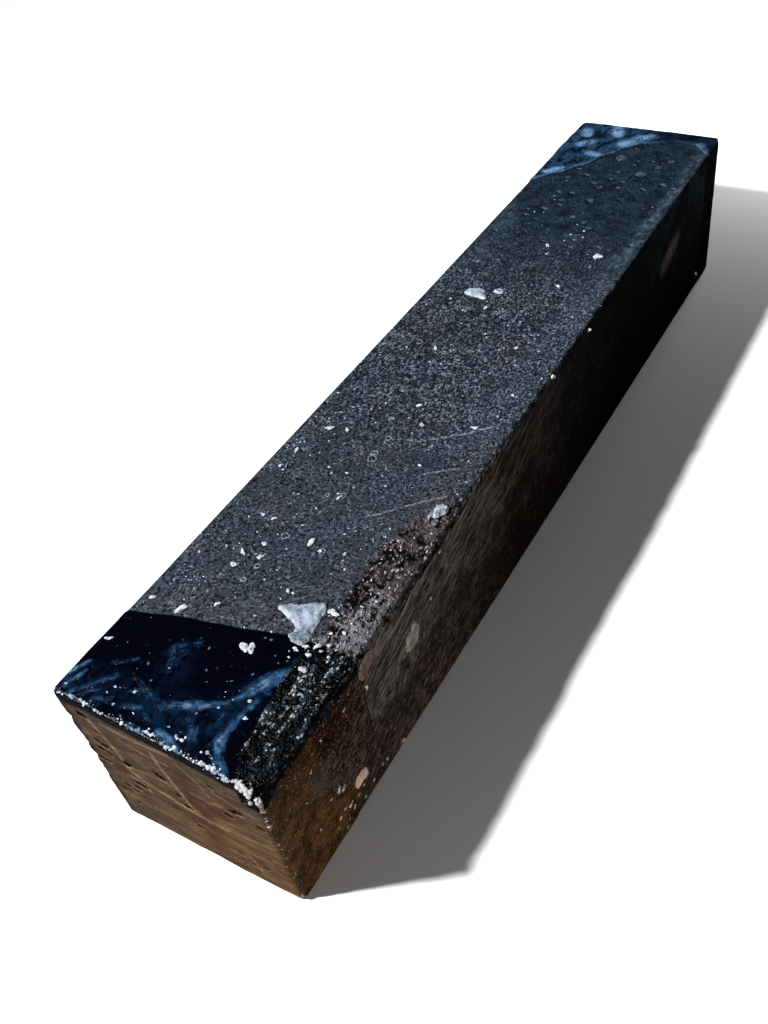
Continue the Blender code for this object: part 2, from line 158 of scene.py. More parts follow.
class BlankColours(bpy.types.PropertyGroup):
    """Colours of the wood and the wax."""

    teal: colour_property("Teal", "Green-blue ground of the sawn top", (0.0045, 0.009, 0.0125))
    indigo: colour_property("Indigo", "Blue ground of the sawn top", (0.0055, 0.0078, 0.0165))
    plum: colour_property("Plum", "Reddish ground of the sawn top", (0.012, 0.0085, 0.014))
    dust: colour_property("Dust", "Pale dust on the top", (0.098, 0.121, 0.154))
    haze: colour_property("Haze", "Bloom along the right arris", (0.024, 0.036, 0.058))
    side: colour_property("Side", "Brown-black of the sides", (0.085, 0.066, 0.058))
    brown: colour_property("Brown", "Mauve brown of the worn wood", (0.046, 0.036, 0.041))
    navy: colour_property("Navy", "Wax over black wood", (0.0003, 0.0005, 0.0026))
    bloom: colour_property("Bloom", "Blue smears in the wax", (0.024, 0.066, 0.138))
    end_grain: colour_property("End grain", "Golden brown end face", (0.2, 0.106, 0.04))
    amber: colour_property("Amber", "Brown wax on the right side", (0.145, 0.068, 0.022))
    frost: colour_property("Frost", "Frosted wax of the flakes", (0.245, 0.29, 0.365))
    white: colour_property("White", "Set white wax of the crumbs", (0.46, 0.52, 0.58))


class StageSettings(bpy.types.PropertyGroup):
    """Light and camera."""

    key_strength: number_property("Key strength", "Strength of the lamp at the near left", 88.0)
    key_size: length_property("Key size", "Radius of the key lamp", 0.016)
    side_power: number_property("Side power", "Power of the weak lamp at the right", 0.8, unit="POWER")
    back_power: number_property("Back power", "Power of the weak lamp behind the far end", 0.5, unit="POWER")
    room: number_property("Room", "Brightness of the room around the blank", 0.032)
    floor_bounce: number_property(
        "Floor bounce", "Share of light that the floor throws back onto the blank", 0.1)


# Small helpers for meshes

def select_only(*chosen):
    bpy.ops.object.select_all(action="DESELECT")
    for made in chosen:
        made.select_set(True)
    bpy.context.view_layer.objects.active = chosen[0]


def vectors_of(items, name):
    flat = np.empty(len(items) * 3)
    items.foreach_get(name, flat)
    return flat.reshape(-1, 3)


def points_of(made):
    """The vertices' places as an array."""
    return vectors_of(made.data.vertices, "co")


def normals_of(made):
    return vectors_of(made.data.vertex_normals, "vector")


def set_points(made, points):
    made.data.vertices.foreach_set("co", np.ascontiguousarray(points).ravel())
    made.data.update()


def paint(made, **masks):
    """Keep values for each vertex, for the materials to read."""
    for name, values in masks.items():
        layer = made.data.attributes.new(name, "FLOAT", "POINT")
        values = np.broadcast_to(values, len(made.data.vertices))
        layer.data.foreach_set("value", np.ascontiguousarray(values, dtype=np.float32))


def select_where(made, kind, wanted):
    """In edit mode, select the edges or faces that answer yes."""
    bpy.ops.mesh.select_mode(type=kind)
    bpy.ops.mesh.select_all(action="DESELECT")
    work = bmesh.from_edit_mesh(made.data)
    for item in (work.edges if kind == "EDGE" else work.faces):
        item.select_set(bool(wanted(item)))
    bmesh.update_edit_mesh(made.data)


def turn_outward(made):
    """Recalculate the normals of a mesh."""
    select_only(made)
    bpy.ops.object.mode_set(mode="EDIT")
    bpy.ops.mesh.select_all(action="SELECT")
    bpy.ops.mesh.normals_make_consistent(inside=False)
    bpy.ops.object.mode_set(mode="OBJECT")


def apply_all(made):
    select_only(made)
    for modifier in list(made.modifiers):
        bpy.ops.object.modifier_apply(modifier=modifier.name)


def remesh(made, voxel):
    """Give a piece an even fine mesh, which also fuses what overlaps."""
    even = made.modifiers.new("even", "REMESH")
    even.mode = "VOXEL"
    even.voxel_size = voxel


def keep_above_floor(made):
    points = points_of(made)
    points[:, 2] = np.maximum(points[:, 2], 0.0)
    set_points(made, points)


def joined(pieces, name):
    """Several mesh objects as one."""
    select_only(*pieces)
    bpy.ops.object.join()
    pieces[0].name = name
    pieces[0].data.name = name
    return pieces[0]


def finish_piece(made, material, slot, *replaced):
    """Give a piece its material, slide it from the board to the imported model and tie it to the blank."""
    made.data.shade_smooth()
    made.data.materials.clear()
    made.data.materials.append(material)
    made.data.transform(Matrix.Translation(BOARD))
    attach(made, "root")
    if replaced:
        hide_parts(*replaced)


# Small helpers for numbers

def smooth(low, high, values):
    """0 below low, 1 above high and an eased step between."""
    part = np.clip((values - low) / (high - low), 0.0, 1.0)
    return part * part * (3.0 - 2.0 * part)


def blend_between(stops, place, column):
    """Value of a column of stops at each place, easing from each stop to the next."""
    at, values = np.array(stops)[:, (0, column)].T
    index = np.clip(np.searchsorted(at, place, side="right") - 1, 0, len(at) - 2)
    part = smooth(0.0, 1.0, (place - at[index]) / (at[index + 1] - at[index]))
    return values[index] + part * (values[index + 1] - values[index])


def rough(points, size, octaves=1, shift=0.0):
    """Noise between about -1 and 1 at each point, with features of one size or a size for each axis."""
    scaled = points / np.asarray(size) + shift
    if octaves == 1:
        return np.array([noise.noise(place) for place in scaled.tolist()])
    return np.array([noise.fractal(place, 1.0, 2.0, octaves) for place in scaled.tolist()])


def grains(points, size):
    """Rounded grains: 1 in the middle of each and 0 between them."""
    nearest = np.array([noise.voronoi(place)[0][0] for place in (points / size).tolist()])
    return np.clip(1.0 - nearest * 1.4, 0.0, 1.0)


def near_line(points, low, high):
    """Part of the way from one stop to the next that is nearest to each point, and the gap to it."""
    run = high - low
    part = np.clip(((points - low) @ run) / (run @ run), 0.0, 1.0)
    return part, np.linalg.norm(points - (low + part[:, None] * run), axis=1)


def along_strokes(points, strokes, core=0.1):
    """For each point: strength of the strongest soft stroke there, and its place along and across it.

    A stroke's stops hold two coordinates and a width in millimetres, and a strength. Its core is even.
    """
    points = points / MM
    strength, along, across = np.zeros((3, len(points)))
    for number, stroke in enumerate(strokes):
        stops = np.array(stroke)
        passed = 20.0 * number
        for low, high in zip(stops, stops[1:]):
            run = high[:2] - low[:2]
            length = math.hypot(*run)
            held, gap = near_line(points, low[:2], high[:2])
            width, level = (low[column] + held * (high[column] - low[column]) for column in (2, 3))
            level = level * (1.0 - smooth(core, 1.0, gap / width))
            stronger = level > strength
            part = ((points - low[:2]) @ run) / length ** 2
            side = ((points - low[:2]) @ np.array([-run[1], run[0]])) / length
            strength = np.where(stronger, level, strength)
            along = np.where(stronger, passed + part * length, along)
            across = np.where(stronger, side, across)
            passed += length
    return strength, along, across


def near_strokes(points, strokes):
    """How strongly each point is painted by soft strokes."""
    return along_strokes(points, strokes, 0.15)[0]


# The shape of the block

def round_corner(first, second, first_leg, second_leg, flatness=ROUND):
    """Pull points near an edge of the block onto the rounding that spans the two legs."""
    near_first = np.maximum(0.0, 1.0 - first / first_leg)
    near_second = np.maximum(0.0, 1.0 - second / second_leg)
    inside = np.minimum(near_first, near_second) > 0.0
    reach = (near_first ** flatness + near_second ** flatness) ** (1.0 / flatness)
    shrink = np.maximum(near_first, near_second) / np.where(inside, reach, 1.0)
    return (
        np.where(inside, (1.0 - near_first * shrink) * first_leg, first),
        np.where(inside, (1.0 - near_second * shrink) * second_leg, second),
    )


JAGGED_SIZE = 0.0032
JAGGED_FROM = (0.07, 0.1)


def worn_legs(along):
    """Width off the top and depth off the side of the worn arris, jagged beyond the torn stretch."""
    jagged = rough(np.outer(along, (1.0, 0.0, 0.0)), JAGGED_SIZE, octaves=3)
    jagged = 1.0 + np.clip(jagged, -0.5, 1.0) * smooth(*JAGGED_FROM, along)
    return tuple(blend_between(WORN_ARRIS, along / MM, column) * MM * jagged for column in (1, 2))


def worn(points):
    """Where points of the true box lie once its arrises and end edges are rounded."""
    middle = BLOCK / 2
    beyond = points > middle
    right, far, high = beyond.T
    depth_x, depth_y, depth_z = np.where(beyond, BLOCK - points, points).T

    on_worn = right & high
    top_leg, side_leg = (np.where(on_worn, leg, ARRIS_ROUNDING) for leg in worn_legs(points[:, 1]))
    flatness = np.where(on_worn & (points[:, 1] < WORN_ARRIS_LENGTH), WORN_FLAT, ROUND)
    depth_x, depth_z = round_corner(depth_x, depth_z, top_leg, side_leg, flatness)

    upright, top_edge, bottom_edge = (
        np.where(far, FAR_END_ROUNDING[edge], leg) for edge, leg in NEAR_END_ROUNDING.items())
    level_edge = np.where(high, top_edge, bottom_edge)
    depth_x, depth_y = round_corner(depth_x, depth_y, upright, upright)
    depth_z, depth_y = round_corner(depth_z, depth_y, level_edge, level_edge)
    depths = np.column_stack([depth_x, depth_y, depth_z])
    return out_of_true(np.where(beyond, BLOCK - depths, depths))


def out_of_true(points):
    """Points shifted by the block's corners, weighted by how near each of them is."""
    parts = points / BLOCK
    shift = np.zeros_like(points)
    for corner, by in CORNER_SHIFT.items():
        weight = np.prod(np.where(corner, parts, 1.0 - parts), axis=1)
        shift += weight[:, None] * np.array(by) * MM
    return points + shift


def on_block(across, along, up):
    """One place on the finished block, from a place on the true box."""
    return Vector(worn(np.array([[across, along, up]]))[0])


def torn_share(points):
    """How far into the worn arris each point of the true box lies: 0 at its borders, 1 at its crest."""
    top_leg, side_leg = worn_legs(points[:, 1])
    on_top = np.clip(1.0 - (WIDTH - points[:, 0]) / top_leg, 0.0, 1.0)
    on_side = np.clip(1.0 - (HEIGHT - points[:, 2]) / (TORN_REACH * side_leg), 0.0, 1.0)
    return np.minimum(on_top, on_side)


def near_edge(boxed):
    """Distance of the near coat's edge from the near end. It drops back low on the right side."""
    across, up = boxed[:, 0], boxed[:, 2]
    drop = np.maximum(0.0, 1.0 - up / NEAR_EDGE_DROPS_BELOW) * np.clip(across / WIDTH, 0.0, 1.0)
    stops = np.array(NEAR_COAT_EDGE)
    return np.interp(across / MM, stops[:, 0], stops[:, 1]) * MM - NEAR_EDGE_DROP * drop


def far_edge(boxed):
    """Distance of the far coat's edge from the near end."""
    return blend_between(FAR_COAT_EDGE, boxed[:, 0] / MM, 1) * MM


# Sizes of the relief's features, where the torn grain fades out, and the band at the floor that stays level
SAW_WAVE = 0.024
TORN_LUMP = (0.0034, 0.0052, 0.0034)
TORN_GRAIN = 0.00115
TORN_FADES = (0.072, 0.086)
LEVEL_BAND = 0.0003


def relief(made, boxed, sizes):
    """Sink the surface by the saw's unevenness and, on the worn arris, by torn grain."""
    placed, outward = points_of(made), normals_of(made)
    above_floor = boxed[:, 2] > LEVEL_BAND
    depth = sizes.saw_relief * (0.5 + 0.5 * rough(placed, SAW_WAVE))
    torn = smooth(0.0, 0.3, torn_share(boxed)) * (1.0 - smooth(*TORN_FADES, boxed[:, 1]))
    rows = np.flatnonzero(torn > 0.0)
    lumps = np.zeros(len(placed))
    lumps[rows] = 0.45 + 0.45 * rough(placed[rows], TORN_LUMP, octaves=2)
    lumps[rows] += 0.42 * (0.5 - grains(placed[rows], TORN_GRAIN))
    depth += sizes.torn_relief * torn * lumps
    set_points(made, placed - outward * (depth * above_floor)[:, None])
    return torn


# The wood

BLOCK_CELLS = ((18,), (2, 49), (18,))
FINE_CUTS = 4
FINEST_CUTS = 1

# How far the wood is taken back under the coats, from how far under their edges, and over what length
TAKEN_BACK = 0.0005
TAKEN_BACK_FROM = 0.0012
TAKEN_BACK_EASE = 0.003

# How far down the marks of the top reach, and how far in those of the side and the blisters
TOP_BAND = 0.012
THIN_BAND = 0.001

# Where the wood gets finer cuts: what shows between the coats, and the torn part of the worn arris
SHOWS_FROM = 0.019
SHOWS_UNDER_FAR_COAT = 0.004
TORN_FROM = 0.021
TORN_TO = 0.083
TORN_WIDTH = 0.0125
TORN_DEPTH = 0.0068


def grid_block(name, size, cells):
    """A box cut into an even grid, with its near left lower corner at the board's."""
    bpy.ops.mesh.primitive_cube_add(size=1.0)
    made = bpy.context.object
    made.name = name
    made.data.name = name
    made.location = Vector(size) / 2
    made.scale = size
    bpy.ops.object.transform_apply(location=True, rotation=False, scale=True)
    bpy.ops.object.mode_set(mode="EDIT")
    for axis, splits in enumerate(cells):
        for count in splits:
            def runs_along(edge):
                run = edge.verts[1].co - edge.verts[0].co
                return abs(run[axis]) > 0.9 * run.length
            select_where(made, "EDGE", runs_along)
            bpy.ops.mesh.subdivide(number_cuts=count - 1)
    return made


class BLANK_OT_billet(bpy.types.Operator):
    """Make the sawn wood, with its worn arris"""

    bl_idname = "blank.billet"
    bl_label = "Billet"

    def execute(self, context):
        made = grid_block("billet", BLOCK, BLOCK_CELLS)
        cell = WIDTH / BLOCK_CELLS[0][0]

        def shows(face):
            middle = face.calc_center_median()
            bare = SHOWS_FROM < middle.y < far_edge(np.array([middle]))[0] + SHOWS_UNDER_FAR_COAT
            return bare and (middle.x > WIDTH - cell or middle.z > HEIGHT - cell)

        def is_torn(face):
            middle = face.calc_center_median()
            on_arris = middle.x > WIDTH - TORN_WIDTH and middle.z > HEIGHT - TORN_DEPTH
            return TORN_FROM < middle.y < TORN_TO and on_arris

        select_where(made, "FACE", shows)
        bpy.ops.mesh.subdivide(number_cuts=FINE_CUTS)
        select_where(made, "FACE", is_torn)
        bpy.ops.mesh.subdivide(number_cuts=FINEST_CUTS)
        bpy.ops.object.mode_set(mode="OBJECT")

        boxed = points_of(made)
        set_points(made, worn(boxed))
        torn = relief(made, boxed, context.scene.blank_sizes)
        self.take_back_under_wax(made, boxed)
        blisters = self.blisters(boxed)
        set_points(made, points_of(made) + blisters[:, None] * (0.0, 0.0, BUBBLE_RISE))
        on_top = boxed[:, 2] > HEIGHT - TOP_BAND
        on_side = boxed[:, 0] > WIDTH - THIN_BAND
        tone = near_strokes(boxed[:, :2], TORN_PALE) - near_strokes(boxed[:, :2], TORN_DARK)
        paint(
            made, bubble=blisters, torn=torn, haze=near_strokes(boxed[:, :2], TOP_HAZE) * on_top,
            warm=near_strokes(boxed[:, :2], TOP_WARMTH) * on_top, pale=tone * on_top,
            smear=near_strokes(boxed[:, 1:], SIDE_SMEARS) * on_side)
        finish_piece(made, wood_material(context.scene.blank_colours), "ebony", "ebony_billet")
        return {"FINISHED"}

    def take_back_under_wax(self, made, boxed):
        """Sink the wood under both coats, so that only the wax shows there."""
        covered = np.maximum(near_edge(boxed) - boxed[:, 1], boxed[:, 1] - far_edge(boxed))
        under = smooth(0.0, TAKEN_BACK_EASE, covered - TAKEN_BACK_FROM)
        points = points_of(made)
        inward = (BLOCK / 2 - points) * (2.0 * TAKEN_BACK / BLOCK)
        set_points(made, points + inward * under[:, None])

    def blisters(self, boxed):
        """Low domes on the top: 1 at the middle of each."""
        level = np.zeros(len(boxed))
        ragged = 0.2 * rough(boxed, BUBBLE_RAGGED_SIZE)
        for across, along, radius in BUBBLES:
            gap = np.hypot(boxed[:, 0] / MM - across, boxed[:, 1] / MM - along) / radius
            level = np.maximum(level, 1.0 - smooth(0.2, 1.0, gap + ragged))
        return level * (boxed[:, 2] > HEIGHT - THIN_BAND)


# Soft strokes on the top of the wood, in millimetres: across, along, width, and strength
TOP_HAZE = (
    ((48, 272, 3, 0.9), (47.5, 232, 3, 1.0), (47, 200, 4, 0.9), (46, 165, 7, 0.8), (45, 140, 9.5, 0.9),
     (44, 112, 11, 0.9), (42, 95, 11, 0.6)),
    ((27, 195, 3.5, 0.5), (33, 197, 3.5, 0.4)),
    ((3, 205, 6, 0.6), (6, 190, 6, 0.5), (4, 170, 5, 0.4)),
    ((3, 85, 4.5, 0.6), (5, 72, 4.5, 0.6)),
    ((8, 36, 2, 0.9), (9.5, 37, 2, 0.8)),
    ((26, 60, 7, 0.35), (33, 74, 7, 0.45), (38, 85, 6, 0.5)),
)
TOP_WARMTH = (
    ((1, 25, 6, 0.6), (10, 30, 5.5, 0.6), (22, 34, 5, 0.6), (33, 38, 5, 0.8)),
    ((35, 45, 4, 0.7), (40, 62, 4, 0.8), (42, 76, 5, 0.9), (45, 90, 4.5, 1.0), (47, 102, 2.5, 0.8)),
    ((1, 60, 2, 0.6), (2, 70, 2, 0.5)),
)

# Pale granular patches and black voids on the worn arris
TORN_PALE = (
    ((48, 37, 4, 0.9), (47, 44, 5, 1.0), (48, 50, 3.5, 0.8)),
    ((42.5, 35, 3, 0.6), (43.5, 40, 3, 0.5)),
    ((46.5, 74, 3, 0.7), (47, 77, 3, 0.7)),
)
TORN_DARK = (
    ((40, 36, 1.8, 0.7), (41.5, 42, 2.4, 1.0), (42, 49, 2.4, 1.0), (42, 58, 2, 0.8),
     (42.5, 68, 1.8, 0.6)),
    ((44, 43, 1.6, 0.8), (45, 47.5, 1.6, 0.7)),
)

# Soft smears on the right side: along, up, width, strength
SIDE_SMEARS = (
    ((218, 30.5, 5, 0.7), (224, 32, 5.5, 1.0), (229, 33.5, 5, 0.7)),
    ((258.5, 5, 1.5, 0.7), (260.5, 3.5, 1.5, 0.7)),
)

# Blisters on the far half of the top, in millimetres: across, along, radius
BUBBLES = (
    (23.5, 248.5, 2.8), (33.5, 239.5, 2.6), (24, 227.5, 1.4), (24.5, 218.5, 1.3), (16, 216, 1.6),
    (23.5, 207, 1.4), (37.5, 245.5, 1.6), (40, 250.5, 1.6), (30, 229, 1.2), (12, 231, 1.3),
    (28, 205, 1.6), (30.5, 202, 1.3),
)
BUBBLE_RISE = 0.00022
BUBBLE_RAGGED_SIZE = 0.0011

# Middle of the saw blade's arcs on the top, and the arcs' radius where they cross it, in millimetres
SAW_CENTRE = (-43.0, 185.0, 0.0)
SAW_RADIUS = 125.0

# Level heading away from the key lamp, and both ends of each straight scratch on the top, in millimetres
FROM_LAMP = (0.45, 0.89, 0.0)
SCRATCHES = (
    ((33, 68), (46.5, 81.5)),
    ((30, 94), (42, 103)),
    ((36, 84), (45, 90.5)),
    ((35, 98), (47, 108)),
    ((40, 148.5), (49, 154.5)),
)


# Nodes

class Value:
    """An output of a node. Arithmetic on it adds maths nodes."""

    def __init__(self, wiring, socket):
        self.wiring = wiring
        self.socket = socket

    def __add__(self, other):
        return self.wiring.maths("ADD", self, other)

    def __radd__(self, other):
        return self.wiring.maths("ADD", other, self)

    def __sub__(self, other):
        return self.wiring.maths("SUBTRACT", self, other)

    def __mul__(self, other):
        return self.wiring.maths("MULTIPLY", self, other)

    def __rmul__(self, other):
        return self.wiring.maths("MULTIPLY", other, self)

    def step(self, low, high, start=0.0, end=1.0):
        """An eased step between two values."""
        sockets = {"Value": self, "From Min": low, "From Max": high, "To Min": start, "To Max": end}
        return self.wiring.add("ShaderNodeMapRange", sockets, interpolation_type="SMOOTHSTEP")[0]


class Outputs:
    """The outputs of a node, by name or number."""

    def __init__(self, wiring, node):
        self.wiring = wiring
        self.node = node

    def __getitem__(self, key):
        return Value(self.wiring, self.node.outputs[key])


class Wiring:
    """Adds nodes to a tree, wired as they are made."""

    def __init__(self, tree, material=None):
        self.tree = tree
        self.material = material

    def plug(self, node, sockets):
        """Link or set a node's inputs."""
        for name, value in sockets.items():
            if isinstance(value, Value):
                self.tree.links.new(value.socket, node.inputs[name])
            else:
                node.inputs[name].default_value = value

    def add(self, kind, sockets=(), **values):
        made = self.tree.nodes.new(kind)
        for name, value in values.items():
            setattr(made, name, value)
        self.plug(made, dict(sockets))
        return Outputs(self, made)

    def maths(self, operation, first, second=0.0):
        return self.add("ShaderNodeMath", {0: first, 1: second}, operation=operation)[0]

    def vector(self, operation, first, second=(0.0, 0.0, 0.0)):
        found = self.add("ShaderNodeVectorMath", {0: first, 1: second}, operation=operation)
        return found["Value" if operation in ("LENGTH", "DISTANCE", "DOT_PRODUCT") else "Vector"]

    def split(self, vector):
        return self.add("ShaderNodeSeparateXYZ", {"Vector": vector})

    def combine(self, first, second, third=0.0):
        return self.add("ShaderNodeCombineXYZ", {"X": first, "Y": second, "Z": third})[0]

    def mix(self, share, first, second, blend="MIX"):
        """One colour over another."""
        first, second = (c if isinstance(c, Value) else (*c, 1.0) for c in (first, second))
        sockets = {0: share, 6: first, 7: second}
        return self.add("ShaderNodeMix", sockets, data_type="RGBA", blend_type=blend)[2]

    def over(self, ground, *layers):
        """Colours laid over a ground one after the other, each by its share."""
        for share, colour in layers:
            ground = self.mix(share, ground, colour)
        return ground

    def turned(self, vector, size=(1.0, 1.0, 1.0), slant=0.0, shift=(0.0, 0.0, 0.0)):
        """The vector slanted by degrees about the board's width, then divided by a size for each axis."""
        tip = {"Vector": vector, "Rotation": (math.radians(slant), 0.0, 0.0), "Location": shift}
        tipped = self.add("ShaderNodeMapping", tip)[0]
        return self.add("ShaderNodeMapping", {"Vector": tipped, "Scale": [1.0 / s for s in size]})[0]

    def cloud(self, vector, size, detail=2.0, roughness=0.5, distortion=0.0, **placing):
        """Noise between 0 and 1, with features of one size or a size for each axis."""
        if isinstance(size, tuple):
            vector = self.turned(vector, size, **placing)
            size = 1.0
        return self.add("ShaderNodeTexNoise", {
            "Vector": vector, "Scale": 1.0 / size, "Detail": detail, "Roughness": roughness,
            "Distortion": distortion})[0]

    def swirl(self, vector, scale, detail):
        """A vector of noise, to bend a pattern with."""
        return self.add("ShaderNodeTexNoise", {"Vector": vector, "Scale": scale, "Detail": detail})["Color"]

    def cells(self, vector, scale, **values):
        """Cells strewn at random, and the random draws of each."""
        found = self.add("ShaderNodeTexVoronoi", {"Vector": vector, "Scale": scale}, **values)
        return found, self.add("ShaderNodeSeparateColor", {"Color": found["Color"]})

    def painted(self, name):
        """A value kept for each vertex."""
        return self.add("ShaderNodeAttribute", attribute_name=name, attribute_type="GEOMETRY")["Fac"]

    @functools.cached_property
    def place(self):
        """The place on the board, in millimetres."""
        place = self.add("ShaderNodeTexCoord")["Object"]
        sockets = {"Vector": place, "Scale": (1000.0,) * 3, "Location": tuple(-1000.0 * BOARD)}
        return self.add("ShaderNodeMapping", sockets)[0]

    @functools.cached_property
    def axes(self):
        """The place across, along and up."""
        return self.split(self.place)

    @functools.cached_property
    def flat(self):
        """The place on the board without its height."""
        return self.combine(self.axes[0], self.axes[1])

    @functools.cached_property
    def facing(self):
        """How far the surface faces right, away from the viewer and up: three values."""
        return self.split(self.add("ShaderNodeTexCoord")["Normal"])

    def shaded(self, colour, roughness, specular, height=None, distance=0.0):
        """Plug the material's shader; returns the material."""
        shader = self.tree.nodes["Principled BSDF"]
        self.plug(shader, {"Base Color": colour, "Roughness": roughness, "Specular IOR Level": specular})
        if height:
            bump = self.add("ShaderNodeBump", {"Height": height, "Distance": distance, "Strength": 1.0})
            self.plug(shader, {"Normal": bump["Normal"]})
        return self.material


def new_material(name, colour):
    """The wiring of a new material."""
    material = bpy.data.materials.new(name)
    material.use_nodes = True
    material.diffuse_color = (*colour, 1.0)
    return Wiring(material.node_tree, material)


def shared_group(name, given, build):
    """A shader group with named inputs, built when it is first asked for. Build returns its outputs."""
    if name in bpy.data.node_groups:
        return bpy.data.node_groups[name]
    tree = bpy.data.node_groups.new(name, "ShaderNodeTree")
    tree.interface.new_socket("Vector", in_out="INPUT", socket_type="NodeSocketVector")
    for label, value in given.items():
        socket = tree.interface.new_socket(label, in_out="INPUT", socket_type="NodeSocketFloat")
        socket.default_value = value
    w = Wiring(tree)
    results = build(w, w.add("NodeGroupInput"))
    for label in results:
        tree.interface.new_socket(label, in_out="OUTPUT", socket_type="NodeSocketFloat")
    w.plug(tree.nodes.new("NodeGroupOutput"), results)
    return tree


def build_specks(w, given):
    bend = w.vector("SUBTRACT", w.swirl(given["Vector"], 1.1, 2.0), (0.5, 0.5, 0.5))
    bent = w.vector("ADD", given["Vector"], bend)
    found, draw = w.cells(bent, w.maths("DIVIDE", 1.0, given["Spacing"]))
    radius = given["Radius"] * draw[1].step(0.0, 1.0, 0.45, 1.2)
    spot = found["Distance"].step(radius * 0.6, radius, 1.0, 0.0)
    return {"Mask": spot * w.maths("LESS_THAN", draw[0], given["Share"])}


def specks(w, spacing, share, radius):
    """Round specks strewn at random; the share says how many of the cells hold one."""
    tree = shared_group("wax_specks", {"Spacing": 2.0, "Share": 0.5, "Radius": 0.25}, build_specks)
    sockets = {"Vector": w.place, "Spacing": spacing, "Share": share, "Radius": radius}
    return w.add("ShaderNodeGroup", node_tree=tree, sockets=sockets)["Mask"]


def build_torn_grain(w, given):
    vector = given["Vector"]
    bent = w.vector("ADD", vector, w.swirl(vector, 1.6, 2.0))
    found, draw = w.cells(bent, w.maths("DIVIDE", 1.0, given["Size"]))
    grain = found["Distance"].step(0.15, 0.6, 1.0, 0.0)
    clumps = w.cloud(vector, 6.0, 3.0, 0.6).step(0.38, 0.66)
    bar = given["Pale share"] * (0.25 + 2.2 * clumps)
    pale = w.maths("LESS_THAN", draw[0], bar) * grain
    return {"Pale": pale, "Brown": draw[1].step(0.45, 0.85) * grain, "Height": grain}


def torn_grain(w, stretch, size, pale_share):
    """Coarse grains for torn wood: which are pale, which are brown, and how high each stands."""
    tree = shared_group("torn_grain", {"Size": 0.7, "Pale share": 0.15}, build_torn_grain)
    sockets = {"Vector": w.turned(w.place, (1.0, stretch, 1.0)), "Size": size, "Pale share": pale_share}
    return w.add("ShaderNodeGroup", node_tree=tree, sockets=sockets)


def wood_material(colours):
    """Sawn ebony: dusty blue-black on top, brown-black on its sides, torn on the worn arris."""
    w = new_material("sawn_ebony", colours.indigo)
    upward = w.facing[2].step(0.72, 0.93)
    top, top_height = sawn_top(w, colours)
    side, side_height = sawn_side(w, colours)
    shreds, torn_height = torn_wood(w, colours)
    ragged = w.cloud(w.place, 1.6, 3.0, 0.65) - 0.5
    torn = w.painted("torn")
    torn = (torn + ragged * torn.step(0.0, 0.2, 0.0, 0.9)).step(0.1, 0.45)
    colour = w.mix(torn, w.mix(upward, side, top), shreds)
    return w.shaded(colour, 0.62, 0.04, upward * top_height + torn * torn_height + side_height, 0.0003)


